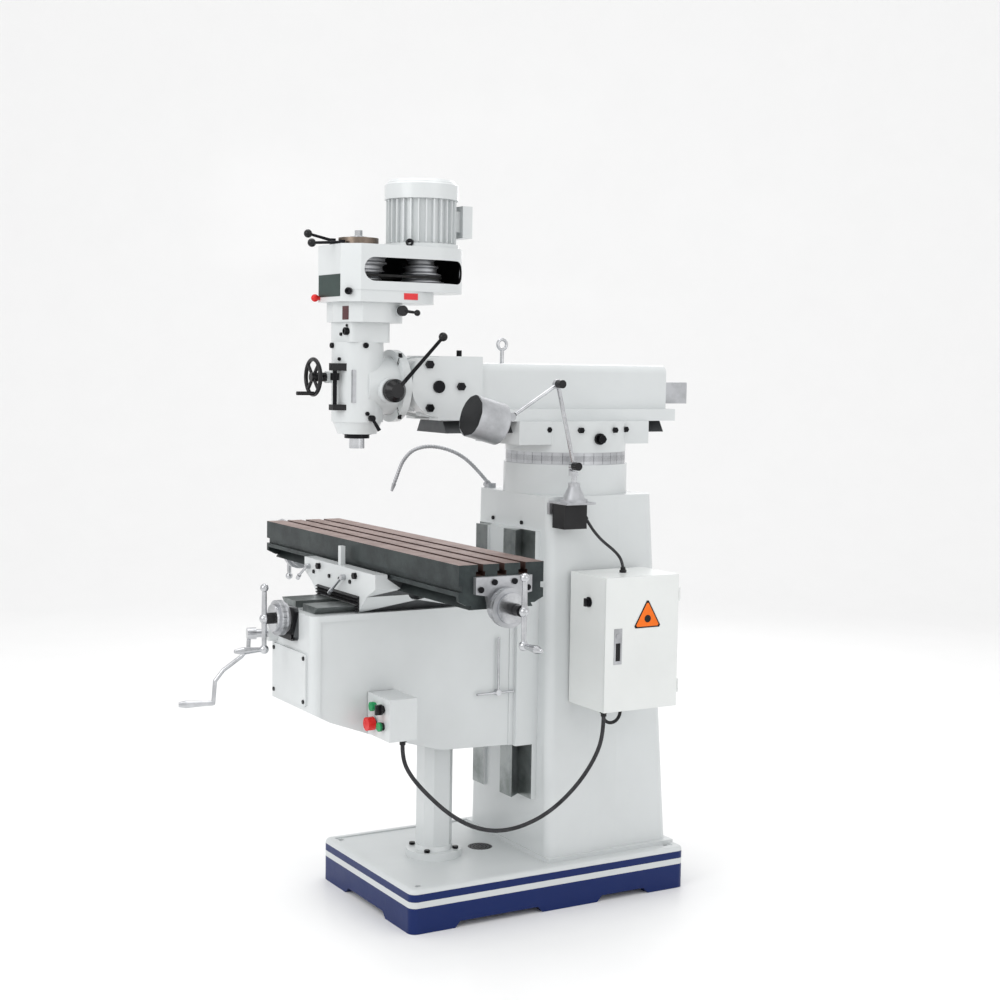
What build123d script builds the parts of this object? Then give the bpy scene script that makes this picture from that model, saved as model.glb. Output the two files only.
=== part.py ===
"""Turret milling machine: the solid model, one STEP file per sub-part.

Frame: millimetres, +Z up, origin on the floor under the middle of the base. +X is the
operator's right (table travel), +Y runs from the operator towards the column.
"""
from build123d import *
import math
import os

os.makedirs("parts", exist_ok=True)

# ---------------------------------------------------------------- driving dimensions (mm)
FIT = 0.05                  # running clearance of a sliding or turning fit, per face
FLANK = 0.15                # sideways clearance that a dovetail's flank gets with it
GAP = 0.3                   # air between curved neighbours that only pass each other
WALL = 20                   # wall of the large castings

# base
BASE_W, BASE_D, BASE_H = 595, 944, 128
DECK_Z = 124                # tray floor
FOOT_STEP = 18              # height of the cut-outs between the feet
ANCHOR_X, ANCHOR_Y, ANCHOR_R = 255, 430, 9

# column
COL_FRONT, COL_TOP = 12, 1208
COL_HALF_TOP, COL_HALF_FOOT = 210, 236
COL_BACK_TOP, COL_BACK_FOOT = 390, 456
COL_CORNER, CORNER_STEPS = 26, 8     # corner radius, and the flats that draw it
TURRET_Y = 200              # turret axis
SEAT_R, SEAT_TOP = 190, 1298
WAY_BOTTOM, WAY_TOP = 300, 1105
WAY_FACE, WAY_FRONT = -5, -45
WAY_NECK, WAY_WIDE, WAY_PAD = 88, 118, 165

# knee
KNEE_HALF, KNEE_FRONT, KNEE_TOP = 150, -712, 893
KNEE_BACK = WAY_FACE - FIT
RIDGE_NECK, RIDGE_WIDE, RIDGE_TOP = 100, 125, 913
SCREW_Y = -244              # elevating screw axis
LIFT_Z = 812                # elevating shaft height
LIFT_HUB = (-120, -768)     # where the elevating shaft meets its crank
CROSS_Z = 873               # cross screw axis

# table and saddle
TABLE_HALF, TABLE_W, TABLE_TOP = 635, 254, 1081.6
TABLE_Y = -396              # middle of the table, and the long screw's axis
TABLE_BOTTOM = 1000
TAIL_NECK, TAIL_WIDE, TAIL_BOTTOM = 75, 95, 965
SLOT_PITCH, SLOT_NECK, SLOT_TEE = 63.5, 16, 27
SLOT_DEPTH, TEE_HEIGHT = 30, 12
LONG_Z = 971                # long screw axis
SADDLE_FRONT, SADDLE_BACK = -565, -240
SADDLE_HALF = 240

# turret, ram and adapter
TURRET_R, RING_R, RING_TOP = 185, 184, 1335
RAM_BOTTOM, RAM_LIP, RAM_TOP = 1427, 1463, 1597
RAM_FRONT, RAM_REAR, RAM_HALF = -155, 510, 92
TAIL_RAM_NECK, TAIL_RAM_WIDE, TAIL_RAM_Z = 70, 92, 1392
PINION_Z, PINION_R = 1376, 15.7
PIVOT_Y, HEAD_Z = -300, 1527
CHEEK_R, CHEEK_HALF, TONGUE_HALF = 86, 100, 45

# head
SPINDLE_Y, FLANGE_Y = -510, -397
FLANGE_R, BARREL_R, HOUSING_R = 104, 83, 74
QUILL_R, QUILL_END, NOSE_END = 45, 1377, 1348
NECK_TOP = 1650
GEAR_TOP, TRAY_TOP, BELT_TOP = 1762, 1795, 1922
MOTOR_Y, MOTOR_R, MOTOR_TOP = -310, 98, 2067
FEED_Y, FEED_Z = -448, 1515
PULLEY_BASE, STEP_H = 1806, 22
MOTOR_STEPS = (62, 54, 46, 38)
SPINDLE_STEPS = (52, 60, 68, 76)
BELT_STEP = 1               # the belt runs on the second step from the bottom

# cabinet and control box
CAB_X0, CAB_X1, CAB_Y0, CAB_Y1, CAB_Z0, CAB_Z1 = 228, 409, 82, 338, 600, 990
DOOR_T = 5
BOX_X1, BOX_Y0, BOX_Y1, BOX_Z0, BOX_Z1 = 286, -540, -455, 552, 670

# lamp
LAMP_X = 270
LAMP_BASE = (63, 1198)      # y and z of the bell's seat
LAMP_J1 = (55, 1303)
LAMP_J2 = (-5, 1540)
LAMP_J3 = (-158, 1446)
LAMP_HEAD = (-240, 1437)

# free cords: routes as hand-set points
CABLE_R = 6
CONTROL_ROUTE = [
    (375, 108, 582), (375, 108, 528), (373, 84, 462), (366, 28, 385), (356, -52, 318),
    (345, -135, 282), (334, -215, 272), (320, -290, 290), (302, -355, 330), (282, -412, 385),
    (264, -458, 440), (252, -482, 492), (252, -482, 534),
]
LAMP_CORD_R = 4.5
LAMP_CORD_ROUTE = [
    (272, 103, 1146), (275, 113, 1130), (280, 126, 1110), (287, 142, 1090), (296, 159, 1073),
    (305, 175, 1059), (313, 190, 1042), (318, 200, 1024), (319, 203, 1006),
]


# ---------------------------------------------------------------- shape helpers
def block(x0, x1, y0, y1, z0, z1):
    """A box between two opposite corners."""
    middle = ((x0 + x1) / 2, (y0 + y1) / 2, (z0 + z1) / 2)
    return Pos(*middle) * Box(abs(x1 - x0), abs(y1 - y0), abs(z1 - z0))


def bar(start, end, radius, end_radius=None):
    """A round bar, or a cone, from one point to another."""
    line = Vector(*end) - Vector(*start)
    place = Plane(origin=start, z_dir=line)
    align = (Align.CENTER, Align.CENTER, Align.MIN)
    if end_radius is None:
        return place * Cylinder(radius, line.length, align=align)
    return place * Cone(radius, end_radius, line.length, align=align)


def drum(axis, centre, low, high, radius, end_radius=None):
    """A round bar along X, Y or Z; centre holds the two other coordinates in order."""
    a, b = centre
    ends = {"x": [(low, a, b), (high, a, b)], "y": [(a, low, b), (a, high, b)],
            "z": [(a, b, low), (a, b, high)]}[axis]
    return bar(ends[0], ends[1], radius, end_radius)


def ball(centre, radius):
    return Pos(*centre) * Sphere(radius)


def prism(axis, points, low, high):
    """A polygon drawn in the two other axes, in order, and pushed along the axis."""
    if axis == "x":
        ring = [(low, p, q) for p, q in points]
    elif axis == "y":
        ring = [(p, low, q) for p, q in points]
    else:
        ring = [(p, q, low) for p, q in points]
    step = {"x": (high - low, 0, 0), "y": (0, high - low, 0), "z": (0, 0, high - low)}[axis]
    face = Face(Wire.make_polygon([Vector(*p) for p in ring], close=True))
    return Part(Solid.extrude(face, Vector(*step)).wrapped)


def mirrored(points):
    """The points, then their mirror images across the first coordinate's zero."""
    return points + [(-p, q) for p, q in reversed(points)]


def hex_head(axis, centre, low, high, across):
    """A hexagon head along X, Y or Z."""
    a, b = centre
    radius = across / math.sqrt(3)
    ring = [(a + radius * math.cos(math.radians(60 * k)), b + radius * math.sin(math.radians(60 * k)))
            for k in range(6)]
    return prism(axis, ring, low, high)


def save(name, shape):
    """Write one sub-part to its own STEP file."""
    solids = shape.solids()
    export_step(Compound(children=list(solids)) if len(solids) > 1 else solids[0],
                f"parts/{name}.step")


def join(pieces):
    """Keep pieces as separate solids of one sub-part."""
    return Compound(children=[s for piece in pieces for s in piece.solids()])


# ---------------------------------------------------------------- base, column and pedestal
def anchor_points():
    return [(x, y) for x in (-ANCHOR_X, ANCHOR_X) for y in (-ANCHOR_Y, ANCHOR_Y)]


DRAIN = (0, -83, 38)        # x, y and radius of the coolant drain
PEDESTAL_BOLTS = [(68 * math.cos(math.radians(a)), SCREW_Y + 68 * math.sin(math.radians(a)))
                  for a in (45, 135, 225, 315)]


def base_casting():
    """Tray base: rounded block, sunk deck, feet with cut-outs between, hollow below."""
    half_w, half_d = BASE_W / 2, BASE_D / 2
    body = block(-half_w, half_w, -half_d, half_d, 0, BASE_H)
    body = fillet(body.edges().filter_by(Axis.Z), 24)
    body = fillet(body.faces().sort_by(Axis.Z)[-1].edges(), 12)
    body -= block(-half_w + 26, half_w - 26, -half_d + 26, half_d - 26, DECK_Z, BASE_H + 1)
    body -= block(-half_w + 34, half_w - 34, -half_d + 34, half_d - 34, -1, 98)
    for low, high in ((-332, -38), (151, 338)):
        ring = [(low, -1), (high, -1), (high - 17, FOOT_STEP), (low + 17, FOOT_STEP)]
        body -= prism("x", ring, -half_w - 1, half_w + 1)
    ring = [(-136, -1), (136, -1), (116, FOOT_STEP), (-116, FOOT_STEP)]
    body -= prism("y", ring, -half_d - 1, half_d + 1)
    for x, y in anchor_points():
        body += drum("z", (x, y), FOOT_STEP, DECK_Z, 24)
        body -= drum("z", (x, y), 0, BASE_H, ANCHOR_R)
    body -= prism("z", column_foot(), DECK_Z, BASE_H + 1)
    body -= drum("z", DRAIN[:2], 90, BASE_H, DRAIN[2] - 6)
    body -= drum("z", DRAIN[:2], DECK_Z - 4, BASE_H, DRAIN[2])
    for x, y in PEDESTAL_BOLTS:
        body -= drum("z", (x, y), 99, BASE_H, 5)
    return body


def drain_screen():
    """Round perforated plate sunk in the deck."""
    x, y, radius = DRAIN
    plate = drum("z", (x, y), DECK_Z - 4, DECK_Z - 1, radius - GAP)
    for ring, count in ((10, 6), (20, 12), (30, 18)):
        for k in range(count):
            angle = 2 * math.pi * k / count
            spot = (x + ring * math.cos(angle), y + ring * math.sin(angle))
            plate -= drum("z", spot, DECK_Z - 5, DECK_Z, 2.6)
    return plate


def quarter(centre_x, centre_y, radius, first):
    """Points of a quarter circle, from a first angle in degrees round to the next quadrant."""
    angles = [math.radians(first + 90 * k / CORNER_STEPS) for k in range(CORNER_STEPS + 1)]
    return [(centre_x + radius * math.cos(a), centre_y + radius * math.sin(a)) for a in angles]


def column_outline(half, back, inset=0):
    """Plan of the column: rounded corners, a shallow set-back along the rear sides."""
    front, side = COL_FRONT + inset, half - inset
    radius = COL_CORNER - inset / 2
    points = quarter(side - radius, front + radius, radius, -90)
    points += [(side, 157), (side - 9, 262)]
    points += quarter(side - 9 - radius, back - inset - radius, radius, 0)
    return mirrored(points)


def column_block(inset, low, high):
    """The column's tapering block between two heights."""
    faces = []
    for z in (low, high):
        share = (z - DECK_Z) / (COL_TOP - DECK_Z)
        half = COL_HALF_FOOT + (COL_HALF_TOP - COL_HALF_FOOT) * share
        back = COL_BACK_FOOT + (COL_BACK_TOP - COL_BACK_FOOT) * share
        ring = [Vector(p, q, z) for p, q in column_outline(half, back, inset)]
        faces.append(Wire.make_polygon(ring, close=True))
    return Part(Solid.make_loft(faces, True).wrapped)


def column_foot():
    """Plan of the plinth that the column stands on."""
    half = COL_HALF_FOOT + 10
    return mirrored([(half, COL_FRONT - 4), (half, COL_BACK_FOOT + 8)])


def column_casting():
    """Hollow column with its foot, the dovetail way in front and the round turret seat."""
    body = column_block(0, DECK_Z, COL_TOP)
    body += prism("z", column_foot(), DECK_Z, DECK_Z + 12)
    body += drum("z", (0, TURRET_Y), COL_TOP - 1, SEAT_TOP, SEAT_R)
    body -= column_block(WALL, DECK_Z, COL_TOP - 26)
    body -= drum("z", (0, TURRET_Y), COL_TOP - 40, SEAT_TOP + 1, 110)
    body += block(-WAY_PAD, WAY_PAD, WAY_FACE, COL_FRONT + 2, WAY_BOTTOM, WAY_TOP)
    body += prism("z", mirrored([(WAY_NECK, WAY_FACE + 1), (WAY_NECK, WAY_FACE), (WAY_WIDE, WAY_FRONT)]),
                  WAY_BOTTOM, WAY_TOP)
    body -= block(-48, 48, WAY_FRONT - 1, WAY_FRONT + 8, WAY_BOTTOM - 1, WAY_TOP + 1)
    for y in (112, 308):
        for z in (CAB_Z0 + 40, CAB_Z1 - 40):
            body += drum("x", (y, z), 195, CAB_X0, 14)
    return body


def elevating_pedestal():
    """Eight-sided post with a round flange; a bronze nut is pressed into its top."""
    side, corner, top = 47, 26, 580
    ring = [(side, SCREW_Y - corner), (side, SCREW_Y + corner), (corner, SCREW_Y + side),
            (-corner, SCREW_Y + side), (-side, SCREW_Y + corner), (-side, SCREW_Y - corner),
            (-corner, SCREW_Y - side), (corner, SCREW_Y - side)]
    post = prism("z", ring, DECK_Z, top)
    post += drum("z", (0, SCREW_Y), DECK_Z, DECK_Z + 22, 84)
    post += drum("z", (0, SCREW_Y), DECK_Z + 22, DECK_Z + 34, 58, 54)
    post -= drum("z", (0, SCREW_Y), DECK_Z + 8, top + 1, 26)
    for x, y in PEDESTAL_BOLTS:
        post -= drum("z", (x, y), DECK_Z - 1, DECK_Z + 40, 5)
    nut = drum("z", (0, SCREW_Y), top - 70, top, 26)
    nut += drum("z", (0, SCREW_Y), top, top + 8, 36)
    nut -= drum("z", (0, SCREW_Y), top - 71, top + 9, 16 + FIT)
    return join([post, nut])


def frame_bolts():
    """Pedestal bolts in the base deck and the two set screws above the column way."""
    pieces = []
    seat = DECK_Z + 22
    for x, y in PEDESTAL_BOLTS:
        bolt = hex_head("z", (x, y), seat, seat + 8, 15)
        bolt += drum("z", (x, y), 100, seat, 4.9)
        pieces.append(bolt)
    for x in (-110, 60):
        pieces.append(drum("y", (x, WAY_TOP + 16), COL_FRONT - 5, COL_FRONT, 6))
    return join(pieces)


# ---------------------------------------------------------------- cabinet and cords
SWITCH = (327, 911)         # x and z of the main switch
GLANDS = [(375, 108, 9), (340, 128, 7), (340, 190, 7)]
TOP_GLAND = (319, 204, 8)
HINGE = (CAB_X1 + 2.5, CAB_Y1 + 4.5)    # door hinge axis


def cabinet_shell():
    """Sheet-metal box on the column's right side, open to +X behind its door."""
    sheet = 2
    shell = block(CAB_X0, CAB_X1 - 1, CAB_Y0, CAB_Y1, CAB_Z0, CAB_Z1)
    shell -= block(CAB_X0 + sheet, CAB_X1 + 1, CAB_Y0 + sheet, CAB_Y1 - sheet,
                   CAB_Z0 + sheet, CAB_Z1 - sheet)
    for z in (CAB_Z0, CAB_Z1 - 12):
        shell += block(CAB_X1 - 14, CAB_X1 - 1, CAB_Y0, CAB_Y1, z, z + 12)
    for z in (CAB_Z0 + 60, CAB_Z1 - 60):
        shell += block(CAB_X1 - 14, CAB_X1 + 2.5, CAB_Y1, CAB_Y1 + 3, z - 9, z + 9)
        shell += drum("z", HINGE, z - 9, z + 9, 3.5)
        shell += drum("z", HINGE, z - 20, z + 20, 1.5)
    shell -= drum("y", SWITCH, CAB_Y0 - 1, CAB_Y0 + sheet + 1, 6)
    for x, y, radius in GLANDS:
        shell -= drum("z", (x, y), CAB_Z0 - 1, CAB_Z0 + sheet + 12, radius - 2)
    x, y, radius = TOP_GLAND
    shell -= drum("z", (x, y), CAB_Z1 - 13, CAB_Z1 + 1, radius - 2)
    return shell


def cabinet_fittings():
    """Mounting plate with contactors and terminals, the glands and the looped conduit."""
    face = CAB_X0 + 8
    pieces = [block(face - 6, face, CAB_Y0 + 20, CAB_Y1 - 20, CAB_Z0 + 30, CAB_Z1 - 30)]
    for k in range(3):
        y = CAB_Y0 + 40 + 60 * k
        body = block(face, face + 78, y, y + 45, CAB_Z1 - 130, CAB_Z1 - 56)
        body += block(face, face + 60, y, y + 45, CAB_Z1 - 170, CAB_Z1 - 132)
        pieces.append(body)
    pieces.append(block(face, face + 95, CAB_Y0 + 40, CAB_Y0 + 130, CAB_Z0 + 90, CAB_Z0 + 175))
    for k in range(10):
        y = CAB_Y0 + 40 + 16 * k
        pieces.append(block(face, face + 42, y, y + 14, CAB_Z0 + 40, CAB_Z0 + 76))
    for x, y, radius in GLANDS:
        body = hex_head("z", (x, y), CAB_Z0 - 9, CAB_Z0, 2 * radius + 2)
        body += drum("z", (x, y), CAB_Z0 - 18, CAB_Z0 - 9, radius - 0.5)
        body += drum("z", (x, y), CAB_Z0, CAB_Z0 + 10, radius - 2)
        pieces.append(body)
    x, y, radius = TOP_GLAND
    body = hex_head("z", (x, y), CAB_Z1, CAB_Z1 + 8, 2 * radius + 2)
    body += cable_stub(LAMP_CORD_ROUTE[-1], LAMP_CORD_ROUTE[-2], 10, radius - 0.5)
    body += drum("z", (x, y), CAB_Z1 - 8, CAB_Z1, radius - 2)
    pieces.append(body)
    (x, y0, _), (_, y1, _) = GLANDS[1:]
    middle, reach = (y0 + y1) / 2, (y1 - y0) / 2
    start = Vector(x, y0, CAB_Z0 - 18)
    path = Edge.make_three_point_arc(start, Vector(x, middle, CAB_Z0 - 18 - reach),
                                     Vector(x, y1, CAB_Z0 - 18))
    pieces.append(sweep(Plane(origin=start, z_dir=(0, 0, -1)) * Circle(5), path=path))
    return join(pieces)


def cabinet_door():
    """Flat door hinged along its rear edge, with its hinge knuckles and a flush lock."""
    x0, x1 = CAB_X1, CAB_X1 + DOOR_T
    door = block(x0, x1, CAB_Y0, CAB_Y1, CAB_Z0, CAB_Z1)
    for middle in (CAB_Z0 + 60, CAB_Z1 - 60):
        for z in (middle - 20, middle + 10):
            door += block(x0, x1 - 1, CAB_Y1 - 1, CAB_Y1 + 3, z, z + 10)
            door += drum("z", HINGE, z, z + 10, 3.5)
            door -= drum("z", HINGE, z - 1, z + 11, 1.5 + FIT)
    door -= block(x1 - 2, x1 + 1, 112, 140, 738, 842)
    lock = block(x1 - 2, x1 + 1, 112.3, 139.7, 738.3, 841.7)
    lock -= block(x1 - 0.5, x1 + 2, 118, 134, 748, 800)
    lock += drum("x", (126, 820), x1 + 1, x1 + 3, 8)
    return join([door, lock])


def main_switch():
    """Rotary main switch on the cabinet's front side."""
    knob = drum("y", SWITCH, CAB_Y0 - 4, CAB_Y0 - GAP, 15)
    knob += drum("y", SWITCH, CAB_Y0 - 8, CAB_Y0 - 4, 11)
    knob += block(SWITCH[0] - 4, SWITCH[0] + 4, CAB_Y0 - 17, CAB_Y0 - 8, SWITCH[1] - 12, SWITCH[1] + 12)
    knob += drum("y", SWITCH, CAB_Y0 - GAP, CAB_Y0 + 22, 6 - FIT)
    return knob


def corner_radii(route):
    """An arc for each inner point: 0.45 of the shorter run over the half turn's tangent."""
    points = [Vector(*p) for p in route]
    radii = []
    for a, b, c in zip(points, points[1:], points[2:]):
        turn = (b - a).get_angle(c - b)
        shorter = min((b - a).length, (c - b).length)
        radii.append(0.45 * shorter / math.tan(math.radians(turn / 2)))
    return radii


def cable_stub(end, towards, length, radius):
    """The collar that a cord comes out of, in line with the cord's last run."""
    line = (Vector(*towards) - Vector(*end)).normalized()
    return bar(Vector(*end) - line * length, Vector(*end), radius)


def cord(name, route, radius):
    """A cord's tube: straight runs joined by tangent arcs, with its facts printed."""
    radii = corner_radii(route)
    path = FilletPolyline(*route, radius=radii)
    start = Plane(origin=route[0], z_dir=Vector(*route[1]) - Vector(*route[0]))
    tube = sweep(start * Circle(radius), path=path)
    ideal = math.pi * radius ** 2 * path.length
    print(name, "radii", [round(r) for r in radii], "length", round(path.length),
          "volume share", round(tube.volume / ideal, 4))
    return tube


HOSE_R = 5
HOSE_VALVE = (-190, 44)
HOSE_ROUTE = [
    (-192, 34, 1226), (-198, 12, 1253), (-215, -34, 1302), (-235, -84, 1328), (-259, -137, 1338),
    (-281, -182, 1326), (-300, -208, 1291), (-313, -220, 1246), (-318, -228, 1218),
]


def coolant_hose():
    """Jointed coolant hose on its valve block, bent over towards the spindle."""
    x, y = HOSE_VALVE
    valve = block(x - 13, x + 13, y - 13, y + 13, COL_TOP, COL_TOP + 14)
    valve += cable_stub(HOSE_ROUTE[0], HOSE_ROUTE[1], 16, 8)
    valve += drum("x", (y, COL_TOP + 8), x - 22, x - 13, 4)
    valve += drum("x", (y, COL_TOP + 8), x - 30, x - 22, 8)
    tube = cord("coolant_hose", HOSE_ROUTE, HOSE_R)
    start, end = Vector(*HOSE_ROUTE[-2]), Vector(*HOSE_ROUTE[-1])
    tip = end + (end - start).normalized() * 26
    nozzle = bar(end, tip, 7, 4) - bar(end - (tip - end), tip + (tip - end), 2.5)
    return join([valve, tube, nozzle])


# ---------------------------------------------------------------- knee and its drives
def knee_outline(inset=0):
    """Side view of the knee: deep at the column, with a rising underside."""
    front, back, top = KNEE_FRONT + inset, KNEE_BACK - inset, KNEE_TOP - inset
    return [(front, 622 + inset), (-655, 592 + inset), (-480, 528 + inset),
            (-300, 477 + inset), (back, 467 + inset), (back, top), (front, top)]


def lift_place():
    """The elevating shaft's frame: origin on the screw's axis, local -Y out to the crank."""
    x, y = LIFT_HUB
    turn = math.degrees(math.atan2(x, SCREW_Y - y))
    return Pos(0, SCREW_Y, LIFT_Z) * Rot(0, 0, turn)


LIFT_REACH = math.hypot(LIFT_HUB[0], LIFT_HUB[1] - SCREW_Y)
COVER_SCREWS = [(x, z) for x in (-105, 105) for z in (649, 771)]


def knee_casting():
    """Hollow knee: rear flange on the column way, ridge for the saddle, screw trough."""
    body = prism("x", knee_outline(), -KNEE_HALF, KNEE_HALF)
    front = body.edges().filter_by(Axis.Z).group_by(Axis.Y)[0]
    body = fillet(front, 22)
    for side in (-1, 1):
        body -= block(side * (KNEE_HALF - 4), side * (KNEE_HALF + 1), -686, -78, 440, 876)
        ring = [(p, q) for p, q in knee_outline(0)[:5]]
        ring = [(-686, 622)] + ring[1:4] + [(-78, 469.5), (-78, 876), (-686, 876)]
        body += prism("x", ring, side * (KNEE_HALF - 26), side * (KNEE_HALF - 4))
    body -= prism("x", knee_outline(WALL), -KNEE_HALF + WALL + 4, KNEE_HALF - WALL - 4)
    body += block(-WAY_PAD, WAY_PAD, -62, KNEE_BACK, 467, 903)
    grown = [(WAY_NECK + FLANK, KNEE_BACK + 1), (WAY_NECK + FLANK, KNEE_BACK),
             (WAY_WIDE + FLANK, WAY_FRONT - FIT)]
    body -= prism("z", mirrored(grown), 400, 950)
    body += prism("y", mirrored([(RIDGE_NECK, KNEE_TOP - 1), (RIDGE_NECK, KNEE_TOP), (RIDGE_WIDE, RIDGE_TOP)]),
                  KNEE_FRONT + 26, -66)
    body += block(-36, 36, KNEE_FRONT + 1, -66, 838, KNEE_TOP)
    body -= block(-26, 26, KNEE_FRONT + 24, -90, 848, RIDGE_TOP + 1)
    body -= drum("y", (0, CROSS_Z), KNEE_FRONT - 1, -80, 16)
    body += drum("z", (0, SCREW_Y), 826, 842, 27)
    body -= drum("z", (0, SCREW_Y), 820, 842.5, 16 + FIT)
    body -= block(-60, 60, SCREW_Y - 60, SCREW_Y + 60, 440, 520)
    place = lift_place()
    body += place * drum("y", (0, 0), -LIFT_REACH + 34, -LIFT_REACH + 110, 24)
    body -= place * drum("y", (0, 0), -LIFT_REACH - 10, -60, 12 + FIT)
    for x, z in COVER_SCREWS:
        body -= drum("y", (x, z), KNEE_FRONT - 1, KNEE_FRONT + 15, 3)
    return body


def knee_fittings():
    """Front cover plate with its four screws, and the cross screw's bearing bracket."""
    plate = block(-118, 118, KNEE_FRONT - 6, KNEE_FRONT, 636, 784)
    plate = fillet(plate.edges().filter_by(Axis.Y), 10)
    for x, z in COVER_SCREWS:
        plate -= drum("y", (x, z), KNEE_FRONT - 7, KNEE_FRONT + 1, 3)
        plate += hex_head("y", (x, z), KNEE_FRONT - 9, KNEE_FRONT - 6, 11)
        plate += drum("y", (x, z), KNEE_FRONT - 7, KNEE_FRONT + 12, 2.9)
    bracket = block(-57, 57, KNEE_FRONT - 16, KNEE_FRONT, 812, 906)
    bracket = fillet(bracket.edges().filter_by(Axis.Y), 12)
    bracket += drum("y", (0, CROSS_Z), KNEE_FRONT - 26, KNEE_FRONT - 16, 42)
    bracket -= drum("y", (0, CROSS_Z), KNEE_FRONT - 27, KNEE_FRONT + 1, 12 + FIT)
    for x in (-46, 46):
        bracket += hex_head("y", (x, 824), KNEE_FRONT - 21, KNEE_FRONT - 16, 12)
    return join([plate, bracket])


def dial_stack(radius):
    """A dial with its lock ring and crank hub, along -Y from y = 0."""
    shape = drum("y", (0, 0), -20, 0, radius)
    shape += drum("y", (0, 0), -30, -20, radius * 0.78)
    shape += drum("y", (0, 0), -52, -30, 16)
    return shape


def ball_crank(grip_side, with_grip=True):
    """Ball crank in the XZ plane at y = 0: centre ball, two end balls, turned grip to -Y."""
    arm = 87
    shape = ball((0, 0, 0), 14)
    shape += bar((0, 0, -arm), (0, 0, 0), 6.5, 8) + bar((0, 0, 0), (0, 0, arm), 8, 6.5)
    shape += ball((0, 0, -grip_side * arm), 12) + ball((0, 0, grip_side * arm), 13)
    if with_grip:
        z = grip_side * arm
        shape += bar((0, 0, z), (0, -18, z), 6, 7) + bar((0, -18, z), (0, -62, z), 7, 11)
        shape += bar((0, -62, z), (0, -84, z), 11, 6) + ball((0, -84, z), 6)
    return shape


def cross_crank():
    """Cross screw with its dial and ball crank."""
    face = KNEE_FRONT - 26
    shape = Pos(0, face, CROSS_Z) * dial_stack(50)
    shape += Pos(0, face - 54, CROSS_Z) * ball_crank(-1)
    shape += drum("y", (0, CROSS_Z), face - 1, -100, 12)
    return shape


def knee_crank():
    """Elevating shaft with its bevel pinion, hub and bent crank."""
    hub = -LIFT_REACH
    pinion = drum("y", (0, 0), -46, -30, 23 - 0.4, 15 - 0.4)
    shape = pinion + drum("y", (0, 0), hub, -46, 12)
    shape += drum("y", (0, 0), hub - 26, hub, 17)
    bends = [(0, hub - 20, 0), (0, hub - 22, -42), (0, hub - 42, -66), (0, hub - 94, -104),
             (0, hub - 117, -134), (0, hub - 122, -198)]
    for a, b in zip(bends, bends[1:]):
        shape += bar(a, b, 6)
        shape += ball(b, 6)
    end = bends[-1][1]
    shape += bar((0, end, -198), (0, end - 30, -198), 7, 8)
    shape += bar((0, end - 30, -198), (0, end - 78, -198), 8, 11)
    shape += bar((0, end - 78, -198), (0, end - 98, -198), 11, 7)
    return lift_place() * shape


def elevating_screw():
    """Elevating screw with the large bevel gear below the shaft."""
    screw = drum("z", (0, SCREW_Y), 308, 838, 16)
    gear = drum("z", (0, SCREW_Y), LIFT_Z - 23, LIFT_Z - 15, 46 - 0.4, 30 - 0.4)
    return screw + gear + drum("z", (0, SCREW_Y), LIFT_Z - 36, LIFT_Z - 23, 26)


def control_box():
    """Push-button box on the knee's right side, with its cable gland below."""
    box = block(KNEE_HALF, BOX_X1, BOX_Y0, BOX_Y1, BOX_Z0, BOX_Z1)
    box -= block(KNEE_HALF + 2, BOX_X1 - 2, BOX_Y0 + 2, BOX_Y1 - 2, BOX_Z0 + 2, BOX_Z1 - 2)
    for x, z in BUTTONS.values():
        box -= drum("y", (x, z), BOX_Y0 - 1, BOX_Y0 + 3, 11 + FIT)
    x, y, z = CONTROL_ROUTE[-1]
    box -= drum("z", (x, y), BOX_Z0 - 1, BOX_Z0 + 3, 7)
    gland = hex_head("z", (x, y), BOX_Z0 - 9, BOX_Z0, 20)
    gland += drum("z", (x, y), z, BOX_Z0 - 9, 8.5)
    gland += drum("z", (x, y), BOX_Z0, BOX_Z0 + 8, 7)
    return join([box, gland])


BUTTONS = {
    "start_button": (196, 638), "direction_switch": (246, 638),
    "stop_button": (196, 590), "coolant_button": (246, 590),
}


def push_button(name, cap_r, cap_y, stem=11):
    """A push button: a cap in front of the box and a stem through its front wall."""
    centre = BUTTONS[name]
    shape = drum("y", centre, BOX_Y0 - cap_y, BOX_Y0 - 6, cap_r)
    shape += drum("y", centre, BOX_Y0 - 6, BOX_Y0 + 24, stem)
    return shape


def direction_switch():
    """Selector: a round base with a raised finger bar."""
    centre = BUTTONS["direction_switch"]
    shape = push_button("direction_switch", 15, 12)
    return shape + block(centre[0] - 4, centre[0] + 4, BOX_Y0 - 24, BOX_Y0 - 12, centre[1] - 14, centre[1] + 14)


def knee_lock():
    """Knee clamp: a spindle into the rear flange with a bent wire handle."""
    y, z, x0 = -120, 632, KNEE_HALF - 4 + GAP
    shape = drum("x", (y, z), x0, x0 + 16, 9)
    shape += drum("y", (x0 + 12, z), y - 72, y + 52, 3.5)
    shape += drum("z", (x0 + 12, y), z, z + 165, 3.5)
    return shape


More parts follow.
